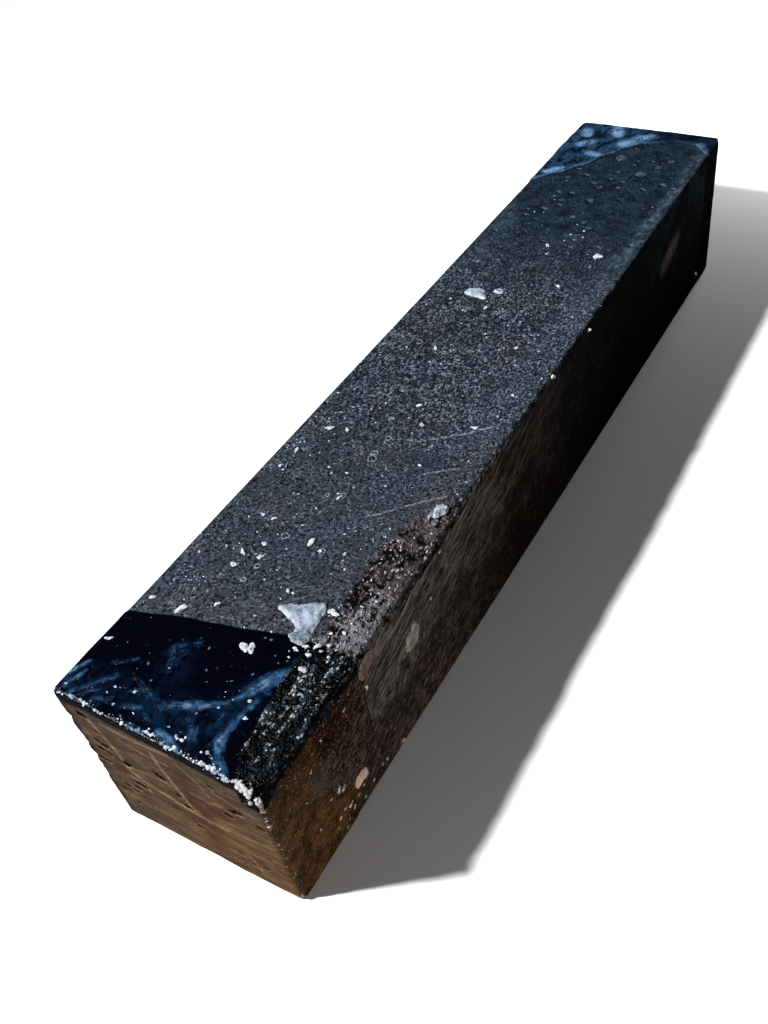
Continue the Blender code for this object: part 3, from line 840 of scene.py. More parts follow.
def sawn_top(w, colours):
    """Colour and height of the sawn top: tinted ground with a painted blue sky reflection towards the far end,
    pale dust, dark pores, and pits at the far end painted as highlight and shade.
    """
    place = w.place
    farness = w.axes[1].step(135.0, 215.0)
    middling = w.axes[1].step(60.0, 125.0)
    blotchy = w.cloud(place, 4.5, 4.0, 0.6)
    haze = w.painted("haze") * blotchy.step(0.36, 0.6, 0.3, 1.0)
    teal = w.cloud(place, 15.0).step(0.42, 0.6)
    plum = w.cloud(w.turned(place, shift=(40.0, 0.0, 9.0)), 13.0).step(0.48, 0.64)
    # Painted sky reflection: the ground turns a mottled blue towards the far end
    far_sky_reflection = w.mix(blotchy.step(0.36, 0.64), (0.0016, 0.0052, 0.0115), (0.009, 0.022, 0.038))
    ground = w.over(
        colours.indigo,
        (teal, colours.teal),
        (plum * 0.6, colours.plum),
        (middling.step(0.0, 1.0, 0.15, 0.05), colours.dust),
        (farness * 0.9, far_sky_reflection),
        (haze * 0.8, colours.haze),
        (w.painted("warm") * 0.5, colours.brown))

    centre = w.vector("SUBTRACT", w.flat, SAW_CENTRE)
    parts = w.split(centre)
    sweep = w.maths("ARCTAN2", parts[1], parts[0]) * SAW_RADIUS
    arc = w.combine(w.vector("LENGTH", centre), sweep, w.axes[2])
    fading = farness.step(0.0, 1.0, 1.0, 0.12)
    patches = w.maths("MAXIMUM", w.cloud(place, 7.0, 4.0, 0.65).step(0.36, 0.6, 0.35, 1.0), haze) * fading
    fine = w.cloud(arc, (0.46, 0.74, 0.46), 2.0, 0.8)
    fuzz = middling.step(0.0, 1.0, fine, w.cloud(place, (0.66, 1.05, 0.66), 2.0, 0.8))
    bright = w.cloud(place, (0.8, 1.05, 0.8), 2.0, 0.7).step(0.59, 0.68)
    bright = bright * middling.step(0.0, 1.0, 0.5, 1.0)
    pores = w.cloud(place, (0.7, 0.95, 0.7), 2.0, 0.7, shift=(7.0, 0.0, 0.0)).step(0.465, 0.41)
    dashes = w.cloud(place, (1.1, 2.4, 1.1), 3.0, 0.7).step(0.48, 0.62)
    lit, shaded = craters(w, 4.2, 0.24)
    bubble = w.painted("bubble")
    speckled = w.cloud(place, 1.0, 3.0, 0.7).step(0.46, 0.62)
    rim = bubble.step(0.0, 0.12) * bubble.step(0.4, 0.15)
    top = w.over(
        ground,
        (fuzz.step(0.49, 0.6) * patches * middling.step(0.0, 1.0, 0.72, 1.3), colours.dust),
        (bright * patches, (0.25, 0.295, 0.35)),
        (pores * farness.step(0.0, 1.0, 0.9, 0.25), (0.001, 0.0016, 0.0028)),
        (scratches(w) * fuzz.step(0.4, 0.56, 0.0, 0.7), (0.22, 0.24, 0.27)),
        (dashes * (haze * farness) * 0.9, (0.078, 0.112, 0.15)),
        # Painted shade in the pits' hollows, then a painted highlight on their walls that face the key lamp
        (shaded * farness.step(0.3, 1.0, 0.0, 0.8), (0.001, 0.0022, 0.004)),
        (lit * farness.step(0.3, 1.0, 0.0, 0.75), (0.105, 0.145, 0.18)),
        (bubble.step(0.05, 0.5) * speckled.step(0.0, 1.0, 0.2, 1.0), (0.078, 0.112, 0.145)),
        (rim * 0.75, (0.0015, 0.003, 0.005)),
        (specks(w, 1.7, 0.18, 0.19) * fading, colours.white))
    return top, fuzz * fading + blotchy * 1.2


def craters(w, spacing, share):
    """Small pits strewn over the top, as painted light: a painted highlight on the wall that faces the key
    lamp, and painted shade on the near wall of the hollow.
    """
    sockets = {0: w.swirl(w.flat, 0.7, 3.0), 1: (1.6, 1.6, 0.0), 2: w.flat}
    bent = w.add("ShaderNodeVectorMath", sockets, operation="MULTIPLY_ADD")[0]
    found, draw = w.cells(bent, 1.0 / spacing, voronoi_dimensions="2D")
    off = w.vector("SUBTRACT", bent, found["Position"])
    away = w.vector("DOT_PRODUCT", off, FROM_LAMP)
    radius = draw[1].step(0.0, 1.0, 0.1 * spacing, 0.26 * spacing)
    inside = (w.vector("LENGTH", off) - radius).step(0.0, 0.1 * spacing, 1.0, 0.0)
    pit = inside * w.maths("LESS_THAN", draw[0], share)
    lit = pit * away.step(0.02 * spacing, 0.16 * spacing)
    return lit, pit * away.step(0.02 * spacing, -0.12 * spacing)


def scratches(w):
    """Thin straight scratches on the top, a little wavy."""
    wavy = (w.cloud(w.place, 3.0) - 0.5) * 1.2
    found = 0.0
    for start, end in SCRATCHES:
        run = Vector(end) - Vector(start)
        heading = run.normalized()
        off = w.vector("SUBTRACT", w.flat, (*start, 0.0))
        along = w.vector("DOT_PRODUCT", off, (*heading, 0.0))
        across = w.vector("DOT_PRODUCT", off, (-heading.y, heading.x, 0.0))
        line = w.maths("ABSOLUTE", across + wavy).step(0.45, 0.1) * along.step(0.0, 1.5)
        found = w.maths("MAXIMUM", found, line * along.step(run.length, run.length - 1.5))
    return found


def sawn_side(w, colours):
    """Colour and height of a side: hairlines over slanting streaks, reddish low, and painted shade that darkens
    it to near black towards the far end.
    """
    place, along, up = w.place, w.axes[1], w.axes[2]
    streaks = w.cloud(place, (1.0, 2.6, 0.62), 3.0, 0.75, slant=-22.0)
    zones = w.cloud(place, 9.0, 3.0, 0.6)
    # Painted shade: the side darkens to near black towards the far end
    painted_far_shade = along.step(46.0, 120.0, 1.0, 0.19) * along.step(120.0, 195.0, 1.0, 0.06)
    ruddy = w.mix(streaks.step(0.44, 0.68), (0.008, 0.004, 0.003), (0.21, 0.125, 0.095))
    low = (up + (zones - 0.5) * 60.0).step(30.0, 14.0)
    high = up + (zones - 0.5) * 40.0
    side = w.over(
        colours.side * 0.1,
        (streaks.step(0.42, 0.65), colours.side * 3.2),
        (low * 0.8, ruddy),
        (zones.step(0.56, 0.42, 0.0, 0.55), colours.side * 0.16),
        (w.cloud(place, 0.75, 2.0, 0.7).step(0.61, 0.7) * 0.65, (0.4, 0.28, 0.22)))
    shade = w.add("ShaderNodeCombineColor", {"Red": painted_far_shade, "Green": painted_far_shade, "Blue": painted_far_shade})[0]
    hairs = 0.0
    for slant, length in ((-7.0, 15.0), (-16.0, 22.0), (-27.0, 9.0)):
        drawn = w.cloud(place, (1.5, length, 0.42), 2.0, 0.6, slant=slant, shift=(slant, 0.0, 0.0))
        hairs = w.maths("MAXIMUM", hairs, drawn.step(0.58, 0.68))
    # The hairlines dim towards the far end too, a weaker painted shade, and are fainter low on the side
    hairs = hairs * high.step(18.0, 42.0, 0.12, 1.0) * along.step(48.0, 150.0, 0.9, 0.04)
    blue = along.step(185.0, 240.0) * high.step(22.0, 44.0) * zones.step(0.44, 0.6)
    smear = w.painted("smear") * w.cloud(place, 2.5, 3.0).step(0.3, 0.6, 0.4, 1.0)
    side = w.over(
        w.mix(1.0, side, shade, blend="MULTIPLY"),
        (hairs, (0.42, 0.36, 0.325)),
        (blue, (0.012, 0.026, 0.046)),
        (smear * 0.75, (0.22, 0.18, 0.2)))
    return side, streaks * 1.2


def torn_wood(w, colours):
    """Colour and height of torn wood: purple brown, black voids, pale grains and paler patches."""
    found = torn_grain(w, 1.25, 0.7, 0.16)
    broad = w.cloud(w.place, 3.6, 4.0, 0.65)
    middling = w.cloud(w.turned(w.place, (1.0, 1.4, 1.0)), 1.15, 3.0, 0.75)
    tone = w.painted("pale")
    pale = w.maths("MAXIMUM", tone, 0.0) * middling.step(0.36, 0.56)
    voids = middling + (broad - 0.5) * 0.6 + w.maths("MINIMUM", tone, 0.0) * 0.13
    colour = w.over(
        (0.013, 0.0095, 0.0105),
        (broad.step(0.4, 0.6), colours.brown),
        (middling.step(0.5, 0.66) * 0.75, (0.135, 0.118, 0.12)),
        (found["Brown"] * 0.7, (0.11, 0.082, 0.078)),
        (pale * 0.85, (0.23, 0.24, 0.26)),
        (voids.step(0.475, 0.4, 0.0, 0.96), (0.0012, 0.0008, 0.0012)),
        (found["Pale"], (0.42, 0.405, 0.42)))
    return colour, middling * 2.6 + found["Height"]


# The near coat

NEAR_CELLS = ((10, 10), (56,), (10, 10))
FAR_CELLS = ((8, 9), (46,), (8, 9))
COAT_WALL = 0.0007

# Blue smears in the near coat's top, in millimetres: across, along, width, and strength
NEAR_BLOOM = (
    ((22.5, 8, 1.2, 0.5), (24.5, 8.5, 1.7, 0.85), (29, 10.5, 1.8, 1.0), (33, 13, 1.3, 0.65),
     (35.5, 16, 1.5, 0.65), (37, 19, 2.6, 0.95), (38.5, 22, 2.8, 1.0), (40, 24.5, 1.8, 0.7),
     (40.5, 29, 1, 0.5)),
    ((39, 17, 1.3, 0.6), (38, 14, 1.3, 0.75), (37.5, 9.5, 1.6, 0.85), (37.5, 6, 2, 1.0),
     (39.5, 3, 1.8, 0.8), (42.5, 1, 1.4, 0.8)),
    ((35, 18, 1.3, 0.5), (38, 19.5, 1.3, 0.6), (39.5, 19, 1.2, 0.5)),
    ((20, 22.5, 2.6, 0.34), (17, 19, 3.4, 0.44), (18.5, 15, 2.4, 0.38)),
    ((0, 3, 1.4, 0.9), (1, 6, 1.3, 1.0), (2.5, 9, 0.8, 1.0)),
    ((2, 2.5, 1.2, 1.0), (3, 5, 1.2, 0.8), (3.5, 7, 0.9, 0.6)),
    ((3.5, 1, 0.9, 0.7), (6, 4, 1, 0.6), (8, 6.5, 1.2, 0.6), (10, 8.5, 1.6, 0.5)),
    ((6, 2, 0.7, 0.6), (9, 4.5, 0.8, 0.6)),
    ((7, 10.5, 1.1, 0.4), (11, 14, 1.1, 0.5)),
    ((9.5, 2.5, 1, 0.5), (12.5, 4, 1.3, 0.5)),
    ((9, 1, 1, 0.7), (11, 1.5, 0.9, 0.5)),
    ((16, 4, 1.2, 0.8), (19, 5, 1.2, 0.6), (22.5, 3.5, 1.6, 0.4)),
    ((19, 1, 1.4, 0.6), (23, 1, 1.2, 0.5)),
    ((26, 2.5, 1.6, 0.9), (29, 2, 1.8, 1.0), (32, 1, 1.4, 0.8)),
    ((30, 7.5, 2.4, 0.45), (32, 5, 2.2, 0.55), (33.5, 3, 1.6, 0.4)),
    ((14, 10, 1.6, 0.35), (19, 8.5, 2, 0.45), (23, 6.5, 2, 0.4)),
    ((15, 7, 1.4, 0.55), (17, 8, 1, 0.5)),
    ((35, 9, 1.6, 0.4), (35, 13, 1.6, 0.4)),
)
NEAR_HAZE = (
    ((22, 6, 8, 0.8), (33, 7, 7, 1.0), (37, 18, 5, 0.7)),
    ((18, 18, 6, 0.5), (20, 14, 6, 0.5)),
    ((1, 4, 6, 0.9), (10, 6, 6, 0.7), (16, 6, 5, 0.6)),
)

# Pits in the near end face, in millimetres: across, up, length
END_PITS = (
    (6.5, 45, 1.9), (8.5, 39.5, 1.4), (7.5, 34, 1.6), (5.5, 31.5, 1.4), (7.5, 30.5, 1), (6, 35, 1.1),
    (12, 30, 1.8), (22, 32.5, 1.8), (21, 33.5, 1.2), (25, 27.5, 1.2), (26.5, 24, 1.7), (13, 22, 2),
    (10.5, 19, 1.4), (7, 17.5, 1.2), (9, 16.5, 1.1), (4, 13.5, 1.2), (26.5, 15, 1.4), (39, 32, 1.6),
    (42.5, 36, 1.4), (41, 35, 1.1), (38, 42.5, 1.1), (47.5, 34, 1.4), (37, 11.5, 1.1), (39.5, 8.5, 1.4),
    (42.5, 10, 1.1), (7, 9.5, 1), (45.5, 17.5, 0.9), (11.5, 11, 1.1),
)
PIT_DEPTH = 0.0006
RIDGE_HEIGHT = 0.00018
CHIP_DEPTH = 0.0009
SLIT = ((0, 26, 0.7, 1.0), (6, 26.5, 0.6, 1.0))

# Losses along the left upright edge: up in millimetres, and strength
LEFT_CHIPS = ((40.5, 0.6), (33.5, 0.5), (30.5, 0.7), (26, 1.0), (22.5, 1.0), (18.5, 0.7))

# Ridges that the wax left on the near end face, in millimetres: across, up, width, and height
END_RIDGES = (
    ((24, 44, 0.7, 0.8), (24.5, 39, 0.8, 1.0), (26.5, 31.5, 0.8, 1.0), (28, 25.5, 0.8, 0.8),
     (31, 21, 0.8, 0.5)),
    ((12, 45.5, 1, 0.7), (19, 45.5, 1.1, 0.9), (25, 46.5, 1.1, 0.9), (30.5, 47.5, 1, 0.7)),
    ((7.5, 45.5, 1.2, 0.6), (10, 39.5, 0.9, 0.9), (11.5, 34, 0.8, 0.9), (12, 28, 1, 0.8),
     (14.5, 26, 1, 0.9), (22.5, 23.5, 1.1, 0.9), (30, 22, 1, 0.7), (36.5, 22.5, 1, 0.5)),
    ((11.5, 25, 0.8, 0.8), (14.5, 23, 0.8, 0.7), (15.5, 20, 0.6, 0.6)),
    ((15, 42, 0.6, 0.6), (21.5, 41, 0.6, 0.5), (27.5, 42, 0.6, 0.5)),
    ((30.5, 45.5, 0.6, 0.5), (34.5, 41, 0.6, 0.6), (36, 37, 0.6, 0.5)),
    ((30, 33.5, 0.6, 0.5), (34.5, 33, 0.7, 0.7), (38.5, 35, 0.7, 0.5)),
    ((38, 40.5, 0.6, 0.6), (43, 39, 0.6, 0.7), (47.5, 38.5, 0.6, 0.5)),
    ((34, 25, 0.6, 0.6), (41.5, 24, 0.7, 0.7), (48.5, 25.5, 0.6, 0.5)),
    ((33.5, 11, 0.7, 0.6), (39.5, 12.5, 0.8, 0.8), (41, 7, 0.7, 0.6)),
    ((6, 12, 0.7, 0.6), (14.5, 13, 0.7, 0.6), (20, 12, 0.6, 0.4)),
)

# Reddish parts of the near end face, in millimetres: across, up, width, and strength
END_RUDDY = (
    ((29, 47, 4.5, 0.5), (30, 30, 6, 0.9), (30, 12, 5.5, 0.9), (31, 0, 5.5, 0.8)),
    ((28, 24, 6, 0.8), (36, 31, 6.5, 0.9), (41, 38, 5, 0.7)),
)


EDGE_WAVE_SIZE = 0.0045
EDGE_WAVE = 0.00016


def coat_block(name, edge, end, cells):
    """A cap over one end, cut into a grid whose last row follows the coat's edge.

    Returns it, its places on the true box, and each point's distance from the edge.
    """
    made = grid_block(name, (WIDTH, 1.0, HEIGHT), cells)
    select_where(made, "FACE", lambda face: face.calc_center_median().y > 0.9999)
    bpy.ops.mesh.delete(type="FACE")
    bpy.ops.object.mode_set(mode="OBJECT")
    boxed = points_of(made)
    reach = edge(boxed)
    wavy = rough(boxed * (1.0, 0.0, 1.0), EDGE_WAVE_SIZE, octaves=3, shift=3.7) * EDGE_WAVE
    share = boxed[:, 1].copy()
    boxed[:, 1] = end + share * (reach + wavy * share - end)
    set_points(made, boxed)
    if end > 0.0:
        turn_outward(made)
    set_points(made, worn(boxed))
    return made, boxed, (1.0 - share) * np.abs(reach - end)


def add_wall(made):
    """Give a coat its inner wall and keep it above the floor."""
    made.modifiers.new("wall", "SOLIDIFY").thickness = COAT_WALL
    made.modifiers["wall"].offset = -1.0
    apply_all(made)
    keep_above_floor(made)


# Relief of the near coat: sizes and heights of its waves, growth layers and smears, and reach of the chips
WAVE_SIZE = 0.006
WAVE_HEIGHT = 0.0001
LAYER_SIZE = (0.03, 0.0009, 1.0)
LAYER_HEIGHT = 0.00006
SMEAR_HEIGHT = 0.00006
CHIP_REACH = 0.0022
CHIP_SIZE = 0.0016
PIT_SLANT = math.radians(-7.0)
PIT_RAGGED_SIZE = 0.0009


class BLANK_OT_near_coat(bpy.types.Operator):
    """Make the wax coat on the near end, with its pits, ridges and torn grain"""

    bl_idname = "blank.near_coat"
    bl_label = "Near coat"

    def execute(self, context):
        sizes = context.scene.blank_sizes
        made, boxed, from_edge = coat_block("near_coat", near_edge, 0.0, NEAR_CELLS)
        torn = relief(made, boxed, sizes)
        placed, outward = points_of(made), normals_of(made)
        on_end = outward[:, 1] < -0.7
        on_side = outward[:, 0] > 0.7
        on_top = outward[:, 2] > 0.3
        top, face = boxed[:, :2], boxed[:, (0, 2)]
        bloom, along, across = along_strokes(top, NEAR_BLOOM)
        ridges = near_strokes(face, END_RIDGES)
        hollows = np.maximum(self.pits(face), near_strokes(face, (SLIT,)))
        layers = rough(self.layered(boxed), LAYER_SIZE, octaves=2)
        chipped = self.chips(boxed)

        lift = sizes.coat_thickness * (0.45 + 0.55 * smooth(0.0, 0.0006, from_edge)) * (1.0 - 0.8 * torn)
        lift += WAVE_HEIGHT * rough(placed, WAVE_SIZE, octaves=3) * smooth(0.0, 0.002, from_edge)
        lift += SMEAR_HEIGHT * near_strokes(top, NEAR_BLOOM) * (outward[:, 2] > 0.5)
        lift += on_end * (RIDGE_HEIGHT * ridges - PIT_DEPTH * hollows + LAYER_HEIGHT * layers)
        set_points(made, placed + outward * (lift - CHIP_DEPTH * chipped)[:, None])
        paint(
            made, torn=torn, bloom=bloom * on_top, stroke_along=along, stroke_across=across,
            haze=near_strokes(top, NEAR_HAZE) * on_top, pits=on_end * hollows, ridges=on_end * ridges,
            chipped=chipped, ruddy=on_end * near_strokes(face, END_RUDDY),
            brink=on_side * (1.0 - smooth(0.0002, 0.001, from_edge)))
        add_wall(made)
        finish_piece(made, near_wax_material(context.scene.blank_colours), "end_wax", "wax_near_end")
        return {"FINISHED"}

    def chips(self, boxed):
        """Ragged losses along the left upright edge."""
        reach = CHIP_REACH * (1.0 + 0.6 * rough(boxed * (0.0, 0.0, 1.0), CHIP_SIZE, octaves=2))
        from_edge = np.hypot(boxed[:, 0], boxed[:, 1])
        share = 1.0 - smooth(0.0, 1.0, from_edge / np.maximum(reach, 0.0004))
        levels = [strength * np.exp(-((boxed[:, 2] / MM - up) / 1.6) ** 2) for up, strength in LEFT_CHIPS]
        return share * np.max(levels, axis=0)

    def pits(self, face):
        """Oval pits, longer than they are high and ragged."""
        depth = np.zeros(len(face))
        ragged = rough(np.column_stack([face, np.zeros(len(face))]), PIT_RAGGED_SIZE, octaves=2)
        for across, up, length in END_PITS:
            off = face / MM - (across, up)
            run = off[:, 0] * math.cos(PIT_SLANT) - off[:, 1] * math.sin(PIT_SLANT)
            rise = off[:, 0] * math.sin(PIT_SLANT) + off[:, 1] * math.cos(PIT_SLANT)
            gap = np.hypot(run / length, rise / (0.62 * length)) + 0.3 * ragged
            depth = np.maximum(depth, 1.0 - smooth(0.45, 1.05, gap))
        return depth

    def layered(self, boxed):
        """Coordinates in which the face's growth layers run level: they rise a little to the right."""
        rise = boxed[:, 2] - boxed[:, 0] * (0.1 + 4.0 * boxed[:, 2])
        return np.column_stack([boxed[:, 0], rise, np.zeros(len(boxed))])


def near_wax_material(colours):
    """Glossy wax: navy with blue smears on top, brown on the end face, amber on the right side."""
    w = new_material("near_wax", colours.navy)
    endward = w.facing[1].step(-0.45, -0.75)
    smoke = w.cloud(w.place, 2.6, 4.0, 0.65, 0.8)
    torn = w.painted("torn") + (w.cloud(w.place, 1.6, 3.0, 0.65) - 0.5) * 0.3
    torn = torn.step(0.03, 0.22)
    upward = w.maths("MAXIMUM", w.facing[2].step(0.45, 0.75), torn)
    top, top_height = wax_smears(w, colours, smoke)
    shreds, torn_height = torn_wax(w)
    end, end_height = end_face(w, colours, smoke)
    side, side_height = wax_side(w, colours, smoke)
    colour = w.mix(upward, w.mix(endward, side, end), w.mix(torn, top, shreds))
    height = end_height * endward + torn_height * torn + (top_height + side_height)
    roughness = endward.step(0.0, 1.0, torn.step(0.0, 1.0, 0.2, 0.3), 0.45)
    return w.shaded(colour, roughness, 0.11, height, 0.00022)


def wax_smears(w, colours, smoke):
    """Colour and height of the near coat's top: blue smears drawn out along their strokes, and specks."""
    bloom, haze = w.painted("bloom"), w.painted("haze")
    stroke = w.combine(w.painted("stroke_along"), w.painted("stroke_across"))
    drawn = w.cloud(stroke, (3.0, 0.75, 1.0), 3.0, 0.6, 0.8)
    uneven = (drawn - 0.5) * 1.2 + (w.cloud(w.place, 1.5, 4.0, 0.65) - 0.5) * 1.9
    level = bloom + uneven * bloom.step(0.0, 0.35)
    streaky = w.cloud(stroke, (1.9, 0.34, 1.0), 2.0, 0.6).step(0.6, 0.76)
    top = w.over(
        colours.navy,
        (haze * smoke.step(0.36, 0.66), (0.0022, 0.009, 0.027)),
        (level.step(0.15, 0.75), (0.0045, 0.018, 0.046)),
        (level.step(0.45, 1.1), colours.bloom),
        (level.step(0.85, 1.4), (0.09, 0.16, 0.245)),
        (streaky * level.step(0.55, 1.1, 0.0, 0.35), (0.2, 0.29, 0.37)),
        (specks(w, 1.5, 0.24, 0.19) * haze.step(0.0, 0.6, 0.3, 0.9), (0.3, 0.38, 0.45)))
    return top, smoke * 0.3 + drawn * bloom


def torn_wax(w):
    """Colour and height of the worn arris under wax: black, with bluish clumps in rows and white specks."""
    ragged = w.cloud(w.place, 1.1, 3.0, 0.75)
    mass = w.cloud(w.place, (1.4, 8.5, 1.4)) + (ragged - 0.5) * 0.9
    found = torn_grain(w, 1.15, 0.72, 0.42)
    white = mass.step(0.49, 0.6) * w.facing[2].step(0.35, 0.85, 0.3, 1.0)
    colour = w.over(
        (0.0003, 0.0004, 0.0008),
        (mass.step(0.56, 0.7), (0.014, 0.023, 0.036)),
        (found["Brown"] * mass.step(0.52, 0.64), (0.06, 0.088, 0.118)),
        (found["Pale"] * white, (0.5, 0.57, 0.62)))
    return colour, found["Height"] + ragged * 2.0


def end_face(w, colours, smoke):
    """Colour and height of the near end face: brown layers, ridges, pits, and a black band of painted shadow
    under the crust at the top edge.
    """
    place, across, up = w.place, w.axes[0], w.axes[2]
    layered = w.combine(across * 0.1, up - across * (0.03 + 0.002 * up))
    broad = w.cloud(layered, 3.2, 3.0, 0.6, 0.4)
    fine = w.cloud(layered, 0.85, 3.0, 0.7, 0.5)
    mottle = w.cloud(w.turned(place, (1.6, 1.0, 1.0)), 4.2, 4.0, 0.62)
    golden = across.step(8.0, 38.0, 0.25, 1.0) * up.step(44.0, 14.0, 0.25, 1.0)
    wavy = (smoke - 0.5) * 2.4
    # Painted shadow: a black band under the crust along the top edge; left darkens a strip along the left edge
    band = up + wavy + across.step(28.0, 42.0, 0.0, 0.6) + across.step(6.0, 2.0, 0.0, 1.0)
    left = (across + wavy).step(3.6, 0.8, 0.0, 0.9)
    pits = w.painted("pits")
    rim = pits.step(0.01, 0.05) * pits.step(0.16, 0.08)
    blue = w.painted("chipped").step(0.05, 0.4) * w.cloud(place, 0.9, 3.0).step(0.44, 0.6)
    corner = across.step(41.0, 47.5) * up.step(3.6, 0.8) * w.cloud(place, 0.8, 3.0).step(0.42, 0.58)
    end = w.over(
        (0.092, 0.061, 0.042),
        (golden, colours.end_grain),
        (broad.step(0.44, 0.62, 0.0, 0.62), (0.05, 0.025, 0.011)),
        (fine.step(0.4, 0.56, 0.5, 0.0), (0.026, 0.012, 0.006)),
        (fine.step(0.57, 0.7, 0.0, 0.4), (0.33, 0.195, 0.082)),
        (mottle.step(0.51, 0.66, 0.0, 0.5), (0.19, 0.114, 0.054)),
        (mottle.step(0.47, 0.34, 0.0, 0.6), (0.04, 0.02, 0.011)),
        (w.painted("ruddy") * mottle.step(0.66, 0.42, 0.35, 0.85), (0.066, 0.022, 0.011)),
        (up.step(30.0, 46.0, 0.0, 0.3), (0.05, 0.04, 0.034)),
        (w.painted("ridges") * fine.step(0.35, 0.65, 0.55, 1.0), (0.35, 0.225, 0.125)),
        # Painted shadow under the crust, with the dark strip at the left edge
        (w.maths("MAXIMUM", band.step(47.3, 48.5), left), (0.004, 0.003, 0.0022)),
        (pits.step(0.12, 0.45), (0.001, 0.0007, 0.0006)),
        (rim * 0.5, (0.3, 0.2, 0.125)),
        (blue, (0.13, 0.16, 0.2)),
        (corner, (0.42, 0.3, 0.215)))
    return end, fine * 1.4 + (broad + mottle * 2.0)


def wax_side(w, colours, smoke):
    """Colour and height of the near coat's right side: amber, then dark wrinkles that end above the floor."""
    place, along, up = w.place, w.axes[1], w.axes[2]
    amber = w.over(
        colours.amber * 0.25,
        (w.cloud(place, 5.0, 4.0, 0.65).step(0.36, 0.64), colours.amber),
        (up.step(24.0, 44.0, 0.0, 0.7), (0.03, 0.013, 0.006)))
    wrinkles = w.cloud(place, (1.0, 2.2, 0.8), 3.0, 0.7, 0.6, slant=-25.0)
    red = w.mix(wrinkles.step(0.44, 0.72), (0.01, 0.0012, 0.0006), (0.046, 0.0085, 0.0042))
    deep = w.over(
        (0.005, 0.002, 0.001),
        (wrinkles.step(0.42, 0.66), (0.145, 0.092, 0.064)),
        (up.step(26.0, 38.0) * along.step(34.0, 24.0) * 0.92, red))
    border = along + 5.0 * (smoke - 0.5) - up.step(20.0, 3.0, 0.0, 16.0)
    smear = w.vector("DISTANCE", place, (50.0, 15.5, 29.5)).step(6.5, 2.0)
    side = w.over(
        amber,
        (border.step(14.5, 18.0), deep),
        (smear * wrinkles.step(0.35, 0.65, 0.2, 0.8), (0.078, 0.072, 0.08)),
        (w.painted("brink") * 0.85, (0.004, 0.003, 0.003)),
        (specks(w, 1.2, 0.26, 0.17) * 0.8, (0.5, 0.38, 0.26)),
        (w.cloud(place, 0.7, 2.0, 0.7).step(0.58, 0.69) * 0.8, (0.36, 0.2, 0.095)))
    return side, wrinkles * 1.1


# The far coat

# Bright and black mottling in the far coat's top, in millimetres: across, along, width, and strength
FAR_BLOOM = (
    ((14, 269, 3, 0.9), (15, 266.5, 3.4, 1.0), (16.5, 264, 2.4, 0.8)),
    ((4, 265, 2.8, 0.6), (6, 262, 3.4, 0.8)),
    ((12, 249, 2.6, 0.9), (15, 248, 2, 0.8)),
    ((3, 232, 1.8, 0.9), (5, 234, 2, 0.9), (7, 236, 1.4, 0.9)),
    ((6.5, 254.5, 2.8, 0.7), (9, 257, 2.6, 0.5)),
    ((20, 258, 3, 0.8), (24, 263, 3.6, 0.8), (28, 266, 3, 0.5)),
    ((45.5, 264, 2.6, 0.35), (48, 260, 1.8, 0.35), (48, 252, 1.4, 0.35)),
)
FAR_DARK = (
    ((5, 250, 2.4, 1.0), (5.5, 249, 2.2, 1.0)),
    ((4, 241.5, 1.8, 1.0), (4.5, 240, 1.6, 1.0)),
    ((9, 264, 1.6, 0.6), (10, 260, 1.8, 0.7)),
    ((19, 265, 2.2, 0.5), (20, 262, 1.8, 0.5)),
    ((30, 264, 3, 0.5), (38, 266, 3.4, 0.6), (44, 269, 2.6, 0.5)),
)

# The lip's middle behind the coat's edge and its width, and size and height of the lumps
LIP_MIDDLE = 0.001
LIP_WIDTH = 0.0009
LUMP_SIZE = 0.0052
LUMP_HEIGHT = 0.00022
FAR_TOP_BAND = 0.004


class BLANK_OT_far_coat(bpy.types.Operator):
    """Make the mottled wax coat on the far end, with its raised lip"""

    bl_idname = "blank.far_coat"
    bl_label = "Far coat"

    def execute(self, context):
        sizes = context.scene.blank_sizes
        made, boxed, from_edge = coat_block("far_coat", far_edge, LENGTH, FAR_CELLS)
        relief(made, boxed, sizes)
        placed, outward = points_of(made), normals_of(made)
        lip = np.exp(-((from_edge - LIP_MIDDLE) / LIP_WIDTH) ** 2)
        lumps = rough(placed, LUMP_SIZE, octaves=3, shift=1.3)
        lift = sizes.coat_thickness * (0.4 + 0.6 * smooth(0.0, 0.0008, from_edge))
        lift += sizes.lip_height * lip * (0.55 + 0.6 * rough(placed, 0.007)) * (outward[:, 2] > 0.3)
        lift += LUMP_HEIGHT * np.maximum(0.0, 0.3 + lumps) * smooth(0.0, 0.003, from_edge)
        lift *= 1.0 - 0.95 * (outward[:, 0] > 0.7)
        set_points(made, placed + outward * lift[:, None])
        top = boxed[:, 2] > HEIGHT - FAR_TOP_BAND
        paint(
            made, lip=lip * top, bloom=near_strokes(boxed[:, :2], FAR_BLOOM) * top,
            dark=near_strokes(boxed[:, :2], FAR_DARK) * top)
        add_wall(made)
        finish_piece(made, far_wax_material(context.scene.blank_colours), "end_wax", "wax_far_end")
        return {"FINISHED"}


